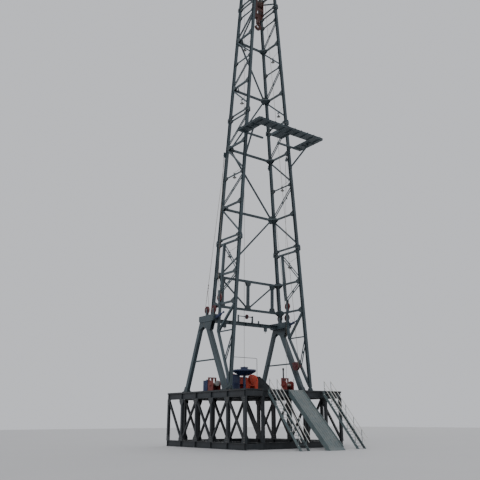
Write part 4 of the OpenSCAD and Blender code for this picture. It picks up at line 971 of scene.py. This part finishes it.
def guard_details():
    """Frames round the two openings of the guard, the bolted round cover and the base bolts."""
    trims, bolts = Shape(), Shape()
    left, right = DW_X
    width, y = right - left, DW_FRONT
    rim, proud = 0.026, 0.010
    for x0, x1, z0, z1 in ((left + 0.15, left + 0.15 + width * 0.30, 0.09, 0.39),
                           (left + width * 0.60, left + width * 0.85, 0.09, 0.32)):
        for z in (z1, z0 - rim):
            trims.box((x0 - rim, y - proud, z), (x1 + rim, y, z + rim))
        for x in (x0 - rim, x1):
            trims.box((x, y - proud, z0), (x + rim, y, z1))
        for x, z in product(row(x0, (x1 - x0) / 3, 4), (z0 - rim / 2, z1 + rim / 2)):
            bolts.bolt((x, y - proud, z), -BACK, 0.006)
    edge = left + 0.08
    trims.box((edge, y - 0.012, 0.67), (edge + width * 0.42, y, 0.70))
    trims.box((edge + 0.02, y - proud, 0.47), (edge + width * 0.40, y, 0.63))
    for x, z in product((edge + 0.04, edge + width * 0.40 - 0.02), (0.49, 0.61)):
        bolts.bolt((x, y - proud, z), -BACK, 0.006)
    cover = vec(left + width * 0.72, y, 0.60)
    trims.ring(cover, -BACK, 0.205, 0.228, 0.012, 48)
    trims.lathe(cover - BACK * 0.080, -BACK, (
        (0.188, 0), (0.188, 0.008), (0.130, 0.012), (0.120, 0.022), (0.060, 0.026), (0.055, 0.040),
        (0.020, 0.042)), 48)
    for inner, outer in zip(around(cover - BACK * 0.088, BACK, 0.162, 12),
                            around(cover - BACK * 0.012, BACK, 0.217, 12)):
        bolts.bolt(inner, -BACK)
        bolts.bolt(outer, -BACK, 0.006)
    for x, line in product(row(edge, 0.147, 8), (DW_FRONT + 0.055, 2.70)):
        bolts.bolt((x, line, 0.10), UP)
    for x in row(left + 0.10, 0.198, 6):
        trims.box((x - 0.006, 2.74, 0.02), (x + 0.006, 2.762, 0.48))
    trims.box((left, 2.74, 0.46), (right, 2.765, 0.49))
    trims.lathe((left - 0.0205, DRUM[1], DRUM[2]), -RIGHT, (
        (0.062, 0), (0.110, 0), (0.110, 0.004), (0.062, 0.007)), 32, closed=True)
    for x in DW_X:
        trims.hoop((x, DRUM[1], DRUM[2]), 0.312, 0.336, 0.026, 0, 180, 32)
    piece("guard_trims", trims, ORANGE, smooth=True)
    piece("guard_bolts", bolts, ZINC)


def hood_details():
    ribs, bolts = Shape(), Shape()
    rim_z, cap_z = 0.985, 1.105
    for u in spokes(UP, 12):
        ribs.plate([HOOD + u * r + UP * z for r, z in (
            (0.225, 0.752), (0.30, 0.780), (0.530, 0.902), (0.530, 0.926), (0.44, 0.926))],
            UP.cross(u) * 0.010)
    ribs.lathe(HOOD + UP * rim_z, UP, ((0.168, 0), (0.200, 0), (0.200, 0.014), (0.172, 0.018)), 32)
    ribs.lathe(HOOD + UP * 1.091, UP, ((0.168, 0), (0.182, 0), (0.182, 0.0135), (0.168, 0.0135)), 32)
    ribs.lathe(HOOD, UP, ((0.058, 0), (0.140, 0), (0.140, 0.022), (0.062, 0.030)), 24)
    ribs.hoop(HOOD + UP * cap_z, 0.030, 0.042, 0.007, 0, 180, 12)
    bolts.bolt_ring(HOOD + UP * rim_z, UP, 0.505, 24, 0.010)
    for top, foot in zip(around(HOOD + UP * cap_z, UP, 0.150, 8, 0.5),
                         around(HOOD + UP * 0.026, UP, 0.110, 8, 0.5)):
        bolts.bolt(top, UP)
        bolts.bolt(foot, UP)
    piece("hood_ribs", ribs, BLUE, smooth=True)
    piece("hood_bolts", bolts, ZINC)


def cabinet_details():
    """Louvres, door panel, handles and hinges of the cabinet beside the hood."""
    panels = Shape()
    x0, x1, y0, y1, top = -0.74, -0.36, 1.82, 2.34, 0.78
    for z in row(0.14, 0.030, 10):
        panels.plate([(x0 + 0.05, y0 - 0.002, z), (x1 - 0.05, y0 - 0.002, z),
                      (x1 - 0.05, y0 - 0.014, z - 0.016), (x0 + 0.05, y0 - 0.014, z - 0.016)],
                     (0, 0, 0.004))
    panels.box((x0 + 0.03, y0 - 0.008, 0.48), (x1 - 0.03, y0, 0.74))
    panels.box((x1 - 0.075, y0 - 0.022, 0.58), (x1 - 0.060, y0 - 0.008, 0.66))
    panels.box((x0 - 0.008, y0 + 0.05, 0.08), (x0, y1 - 0.05, 0.72))
    for z in (0.18, 0.62):
        panels.rod((x0 - 0.014, y1 - 0.05, z), (x0 - 0.014, y1 - 0.05, z + 0.07), 0.009, 10)
    panels.box((x0 - 0.030, y0 + 0.09, 0.38), (x0 - 0.008, y0 + 0.105, 0.48))
    panels.box((x0 - 0.014, y0 - 0.014, 0), (x1, y1 + 0.014, 0.05))
    panels.box((x0 - 0.012, y0 - 0.012, top - 0.02), (x1, y1 + 0.012, top + 0.006))
    piece("cabinet_panels", panels, BLUE)


def chain_case_details():
    trims, bolts = Shape(), Shape()
    x0, y0, y1, height = 0.90, 2.09, 2.35, 0.76
    corners = ((0, 0), (1.1, 0), (1.1, 0.06), (0.12, height), (0, height))
    for y, way in ((y0, -1), (y1, 1)):
        for k in range(5):
            a, b = corners[k], corners[(k + 1) % 5]
            p = vec(x0 + a[0], y + way * 0.004, a[1])
            q = vec(x0 + b[0], y + way * 0.004, b[1])
            inward = (q - p).normalized().cross(BACK) * 0.014
            trims.bar(p + inward, q + inward, 0.028, 0.010, BACK)
            count = max(2, int((q - p).length / 0.10))
            for i in range(count):
                at = p.lerp(q, (i + 0.5) / count) + inward + BACK * (way * 0.005)
                bolts.bolt(at, way * BACK, 0.006)
        trims.lathe((x0 + 0.26, y, 0.40), way * BACK, (
            (0.150, 0), (0.150, 0.008), (0.070, 0.012), (0.060, 0.028), (0.030, 0.028)), 32)
        trims.lathe((x0 + 0.72, y, 0.17), way * BACK, (
            (0.085, 0), (0.085, 0.008), (0.040, 0.010), (0.035, 0.024), (0.015, 0.024)), 28)
    slope = vec(0.98, 0, -0.70).normalized()
    for t in (0.15, 0.45, 0.75, 1.05):
        at = vec(x0 + 0.12, (y0 + y1) / 2, height + 0.004) + slope * t
        trims.bar(at - BACK * 0.13, at + BACK * 0.13, 0.012, 0.030, slope)
    piece("chain_case_trims", trims, BLACK, smooth=True)
    piece("chain_case_bolts", bolts, ZINC)


def full_oval(centre, w, h, steps=20):
    """A closed upright loop with full corners, w and h from its centre to its edges."""
    x, y, z = centre
    angles = [math.tau * k / steps for k in range(steps + 1)]
    return [(x + w * math.cos(a), y, z + math.copysign(h * abs(math.sin(a)) ** 0.5, math.sin(a)))
            for a in angles]


def winch_details():
    rope, trims, bolts = Shape(), Shape(), Shape()
    for x, y in WINCHES:
        axis = vec(x, y, WINCH_AXIS)
        rope.coil(axis, 0.076, 0.136, 0.006, 20)
        for s in SIDES:
            trims.lathe(axis + RIGHT * (s * 0.220), s * RIGHT, (
                (0.095, 0), (0.095, 0.010), (0.060, 0.016), (0.050, 0.040), (0.022, 0.040)), 28)
            trims.hoop(axis + RIGHT * (s * 0.200), 0.176, 0.186, 0.026, 0, 180, 20)
            bolts.bolt_ring(axis + RIGHT * (s * 0.230), s * RIGHT, 0.078, 6, 0.007)
            for dy in (-0.15, 0.15):
                bolts.bolt((x + s * 0.12, y + dy, 0.04), UP, 0.010)
            trims.tube(full_oval((x + s * 0.095, y + 0.158, 0.485), 0.044, 0.109), 0.006, 6)
        lever = x + 0.19
        trims.tube([(lever, y - 0.18, 0.10), (lever, y - 0.21, 0.30), (lever, y - 0.20, 0.52)], 0.009)
        trims.lathe((lever, y - 0.20, 0.52), UP, ((0.01, 0), (0.018, 0.012), (0.012, 0.034)), 12)
    piece("winch_rope", rope, ROPE, smooth=True)
    piece("winch_trims", trims, CROWN, smooth=True)
    piece("winch_bolts", bolts, ZINC)


def left_winch_drive():
    """The grey clutch disc and the blue motor box by the left winch."""
    wheel, motor = Shape(), Shape()
    x, y = WINCHES[1]
    wheel.lathe((x + 0.02, y - 0.19, 0.36), -BACK, (
        (0.020, 0), (0.105, 0), (0.118, 0.008), (0.118, 0.020), (0.100, 0.024), (0.030, 0.030),
        (0.012, 0.030)), 36)
    wheel.rod((x + 0.02, y - 0.20, 0.36), (x + 0.02, y - 0.10, 0.36), 0.012, 12)
    at = vec(x + 0.12, y + 0.72, 0)
    motor.block(at + UP * 0.05, (0.25, 0.30, 0.47))
    motor.block(at, (0.28, 0.33, 0.05))
    for z in row(0.14, 0.04, 7):
        motor.block(at + vec(0, -0.153, z), (0.22, 0.006, 0.012))
    motor.lathe(at + UP * 0.52, UP, ((0.06, 0), (0.06, 0.03), (0.04, 0.045)), 20)
    piece("winch_clutch_disc", wheel, GREY, smooth=True)
    piece("winch_motor", motor, BLUE, bevel=0.003)


def winch_line():
    """The line from the right winch up to the pulley on the front leg."""
    line = Shape()
    x, y = WINCHES[0]
    line.rod((x, y + 0.076, WINCH_AXIS), PULLEY + BACK * PULLEY_R, 0.006, 8)
    piece("winch_line", line, ROPE)


def rotary_details():
    ring, bolts = Shape(), Shape()
    top = vec(0, WELL_Y, 0.060)
    ring.lathe(top, UP, (
        (0.1765, 0), (0.262, 0), (0.262, 0.006), (0.254, 0.010), (0.184, 0.010), (0.1765, 0.006)), 56,
        closed=True)
    ring.ring(top, UP, 0.400, 0.412, 0.004, 56)
    tread = top + UP * 0.002
    for u in spokes(UP, 28):
        ring.bar(tread + u * 0.280, tread + u * 0.385, 0.010, 0.005, UP)
    bolts.bolt_ring(top, UP, 0.446, 16, 0.011, 0.5)
    bolts.bolt_ring(top + UP * 0.010, UP, 0.220, 4, 0.014, 0.5)
    piece("rotary_rings", ring, IRON, smooth=True)
    piece("rotary_bolts", bolts, ZINC)


def anchor_details():
    rope, clamp = Shape(), Shape()
    axis = vec(1.93, 0.56, 1.17)
    rope.coil(axis, 0.178, 0.036, 0.008, 32)
    for s in SIDES:
        clamp.lathe(axis + RIGHT * (s * 0.040), s * RIGHT, (
            (0.165, 0), (0.195, 0), (0.195, 0.012), (0.165, 0.015)), 36, closed=True)
        clamp.bolt_ring(axis + RIGHT * (s * 0.055), s * RIGHT, 0.12, 6, 0.008)
    clamp.box(axis + vec(-0.05, 0.15, 0.10), axis + vec(0.04, 0.23, 0.16))
    for dx in (-0.03, 0.02):
        clamp.bolt(axis + vec(dx, 0.19, 0.16), UP)
    piece("anchor_rope", rope, ROPE, smooth=True)
    piece("anchor_flanges", clamp, RED, smooth=True)


def floor_post():
    """The slim dark post on the floor."""
    post = Shape()
    foot, base_t = vec(1.52, 1.0, 0), 0.014
    post.lathe(foot, UP, (
        (0.085, 0), (0.085, base_t), (0.034, 0.016), (0.034, 0.50), (0.040, 0.505), (0.040, 0.535),
        (0.034, 0.54), (0.034, 1.00), (0.044, 1.005), (0.044, 1.08), (0.036, 1.10)), 24)
    post.bolt_ring(foot + UP * base_t, UP, 0.064, 4, 0.008, 0.5)
    piece("floor_post", post, BLACK, smooth=True)


def pipe_frame():
    """The thin pipe frame behind the drawworks."""
    pipes = Shape()
    y, height = 3.30, 1.72
    left, right = 0.20, 1.82
    rise = ((0, 0), (0, height - 0.06), (0.018, height - 0.018), (0.06, height))
    up = [(left + dx, y, z) for dx, z in rise]
    down = [(right - dx, y, z) for dx, z in reversed(rise)]
    pipes.tube(up + down, 0.013, 10)
    pipes.rod((left, y, 0.86), (right, y, 0.86), 0.010, 10)
    for x in (left, right):
        pipes.lathe((x, y, 0), UP, ((0.045, 0), (0.045, 0.008), (0.016, 0.012)), 16)
    piece("pipe_frame", pipes, MAST, smooth=True)


# Floor, ramp and stairs

RAMP_ANGLE = 45
STAIR_ANGLE = 50


def on_slope(x, distance, height, angle):
    """A point over the slope that runs down from the floor's front edge."""
    a = math.radians(angle)
    return vec(x, FLOOR_FRONT - 0.0002 - distance * math.cos(a) - height * math.sin(a),
               height * math.cos(a) - distance * math.sin(a))


def ramp_details():
    strips, bolts = Shape(), Shape()
    low = 3.02
    runs = [(x, 0.02, 0.018, 0.024, 0.034) for x in (-0.385, 0.385)]
    runs += [(x, 0.05, 0.004, 0.030, 0.008) for x in (-0.25, -0.125, 0, 0.125, 0.25)]
    for x, start, h, w, d in runs:
        strips.bar(on_slope(x, start, h, RAMP_ANGLE), on_slope(x, low, h, RAMP_ANGLE), w, d, UP)
    for s, d in product(SIDES, row(0.16, 0.45, 7)):
        web = on_slope(s * 0.401, d, -0.08, RAMP_ANGLE)
        for side in SIDES:
            bolts.bolt(web + vec(0, side * 0.022, side * 0.022), s * RIGHT, 0.010)
    for x in (-0.33, -0.18, 0.18, 0.33):
        bolts.bolt(on_slope(x, 0.06, 0.001, RAMP_ANGLE), UP - BACK, 0.010)
    piece("ramp_strips", strips, RAMP)
    piece("ramp_bolts", bolts, ZINC)


def stair_rail(rails, edge, length):
    """Round tubes over a hand rail and its knee rail, and clamps at the feet of their posts."""
    a = math.radians(STAIR_ANGLE)
    for share in (0.5, 1):
        h = 0.5 * share * math.cos(a) - 0.002
        ends = [on_slope(edge, d, h, STAIR_ANGLE) for d in (0.135 - h * math.tan(a), length - 0.265)]
        rails.rod(*ends, 0.0125, 10)
        for end in ends:
            rails.lathe(end - RIGHT * 0.013, RIGHT, (
                (0.006, 0), (0.0155, 0.004), (0.0155, 0.022), (0.006, 0.026)), 12)
    for d in row(0.150, (length - 0.450) / 4, 5):
        rails.block(on_slope(edge, d, 0, STAIR_ANGLE) - UP * 0.045, (0.026, 0.040, 0.025))


def stair_details():
    """Grating bars and nosings on the treads, their bolts, and the rails."""
    treads, rails, bolts = Shape(), Shape(), Shape()
    count = 20
    rise = FLOOR_Z / (count + 1)
    going = rise / math.tan(math.radians(STAIR_ANGLE))
    length = FLOOR_Z / math.sin(math.radians(STAIR_ANGLE))
    half, bar_h = 0.186, 0.005
    for x in (-1.275, 1.740):
        for i in range(1, count + 1):
            nose, top = FLOOR_FRONT - (i + 0.15) * going, -i * rise - 0.002
            bars = [(nose, 0.014)] + [(y, 0.004) for y in row(nose + 0.0205, 0.0145, 5)]
            for y, w in bars:
                treads.box((x - half, y, top), (x + half, y + w, top + bar_h))
            for s, dy in product(SIDES, (0.025, 0.070)):
                bolts.bolt((x + s * 0.2052, nose + dy, top - 0.008), s * RIGHT, 0.0055, 0.005)
        for s in SIDES:
            stair_rail(rails, x + s * 0.197, length)
    piece("stair_treads", treads, RAMP)
    piece("stair_rail_tubes", rails, RAIL, smooth=True)
    piece("stair_bolts", bolts, ZINC)


def deck_details():
    """Seams and screws of the deck plates, and the angle along the floor's edges."""
    seams, bolts = Shape(), Shape()
    seam_h, spacing = 0.003, 0.25
    for x, (y0, y1) in product((-1.65, -0.555, 0.555, 1.65),
                               ((FLOOR_FRONT + 0.03, 0.10), (1.14, FLOOR_REAR - 0.03))):
        seams.box((x - 0.030, y0, 0), (x + 0.030, y1, seam_h))
        for y, dx in product(row(y0 + 0.12, spacing, int((y1 - y0) / spacing)), (-0.02, 0.02)):
            bolts.bolt((x + dx, y, seam_h), UP, 0.006, 0.003)
    seam_w = FLOOR_W - 0.08
    for y in (-0.40, 3.05, 3.72):
        seams.block((0, y, 0), (seam_w, 0.050, 0.0025))
    edge_w, edge_h = 0.036, 0.006
    for s in SIDES:
        x = s * (FLOOR_W / 2 - 0.02)
        seams.box((x - edge_w / 2, FLOOR_FRONT, 0), (x + edge_w / 2, FLOOR_REAR, edge_h))
    for y in (FLOOR_FRONT + edge_w / 2, FLOOR_REAR - edge_w / 2):
        seams.block((0, y, 0), (seam_w, edge_w, edge_h))
    piece("deck_seams", seams, BLACK)
    piece("deck_screws", bolts, ZINC)


def substructure_details():
    """Node plates and bolts on the trusses of the side boxes, and stiffeners in their beams."""
    plates, bolts, ribs = Shape(), Shape(), Shape()
    bay = (FLOOR_REAR - FLOOR_FRONT - 0.11) / 5
    half = FLOOR_W / 2
    for s, (centre, outward) in product(SIDES, ((half - 0.065, 1), (half - 0.935, -1))):
        way = s * outward
        face = s * centre + way * 0.0572
        rib_x = s * centre + way * 0.036
        for y in row(FLOOR_FRONT + 0.055, bay, 6):
            y0 = max(y - 0.17, FLOOR_FRONT + 0.002)
            y1 = min(y + 0.17, FLOOR_REAR - 0.002)
            outline = ((y0, 0), (y1, 0), (y1, 0.10), (min(y + 0.06, y1), 0.26), (max(y - 0.06, y0), 0.26),
                       (y0, 0.10))
            for z, up in ((-2.0, 1), (-0.29, -1)):
                plates.plate([(face, a, z + up * b) for a, b in outline], (0.004, 0, 0))
                for dy, dz in product((-0.035, 0.035), (0.04, 0.12, 0.20)):
                    bolts.bolt((face + way * 0.002, y + dy, z + up * dz), way * RIGHT, 0.011, 0.0035)
            for z in (-2.125, -0.165):
                ribs.block((rib_x, y, z - 0.108), (0.052, 0.012, 0.216))
    piece("node_plates", plates, BLACK)
    piece("node_bolts", bolts, ZINC)
    piece("beam_stiffeners", ribs, BLACK)


# Studio

def studio():
    world = bpy.data.worlds.new("soft_sky")
    world.use_nodes = True
    sky = world.node_tree.nodes["Background"].inputs
    sky["Color"].default_value = (0.60, 0.61, 0.64, 1)
    sky["Strength"].default_value = 1.15
    bpy.context.scene.world = world
    for name, energy, size, turn in (("key", 1.6, 40, (48, 0, -62)), ("fill", 0.6, 60, (60, 0, 120))):
        light = bpy.data.lights.new(name, "SUN")
        light.energy = energy
        light.angle = math.radians(size)
        obj = bpy.data.objects.new(name, light)
        obj.rotation_euler = [math.radians(a) for a in turn]
        bpy.context.scene.collection.objects.link(obj)
    half, low = 60, -0.002
    floor = bpy.data.meshes.new("studio_floor")
    floor.from_pydata([(x * half, y * half, low) for x, y in ((-1, -1), (1, -1), (1, 1), (-1, 1))],
                      [], [(0, 1, 2, 3)])
    pale = Finish("pale_floor")
    tone = pale.mix(pale.noise(0.3, 3), (0.40, 0.40, 0.41), (0.43, 0.43, 0.43))
    pale.put(pale.shader, {"Base Color": tone, "Roughness": 0.8})
    floor.materials.append(pale.material)
    obj = bpy.data.objects.new("studio_floor", floor)
    bpy.context.scene.collection.objects.link(obj)


def camera():
    data = bpy.data.cameras.new("photo_camera")
    data.sensor_width = 36
    data.lens = data.sensor_width * FOCAL_PIXELS / FRAME_PIXELS
    data.shift_y = AXIS_ABOVE_CENTRE / FRAME_PIXELS
    data.clip_end = 300
    obj = bpy.data.objects.new("photo_camera", data)
    obj.location = CAMERA_AT
    obj.rotation_euler = [math.radians(a) for a in (CAMERA_PITCH, CAMERA_ROLL, CAMERA_YAW)]
    bpy.context.scene.collection.objects.link(obj)
    bpy.context.scene.camera = obj


def main():
    camera()
    studio()
    dress_solids()
    for build in (mast_details, back_frame_details, leg_details, lamps, conduits, snatch_block,
                  board_details, diving_board_details, drilling_line, block_details, crown_details,
                  raising_details, raising_sheave_spokes, a_frame_details, beam_details, shoe_details,
                  buffer_details, drum_details, guard_details, hood_details, cabinet_details,
                  chain_case_details, winch_details, left_winch_drive, winch_line, rotary_details,
                  anchor_details, floor_post, pipe_frame, ramp_details, stair_details, deck_details,
                  substructure_details):
        build()


main()
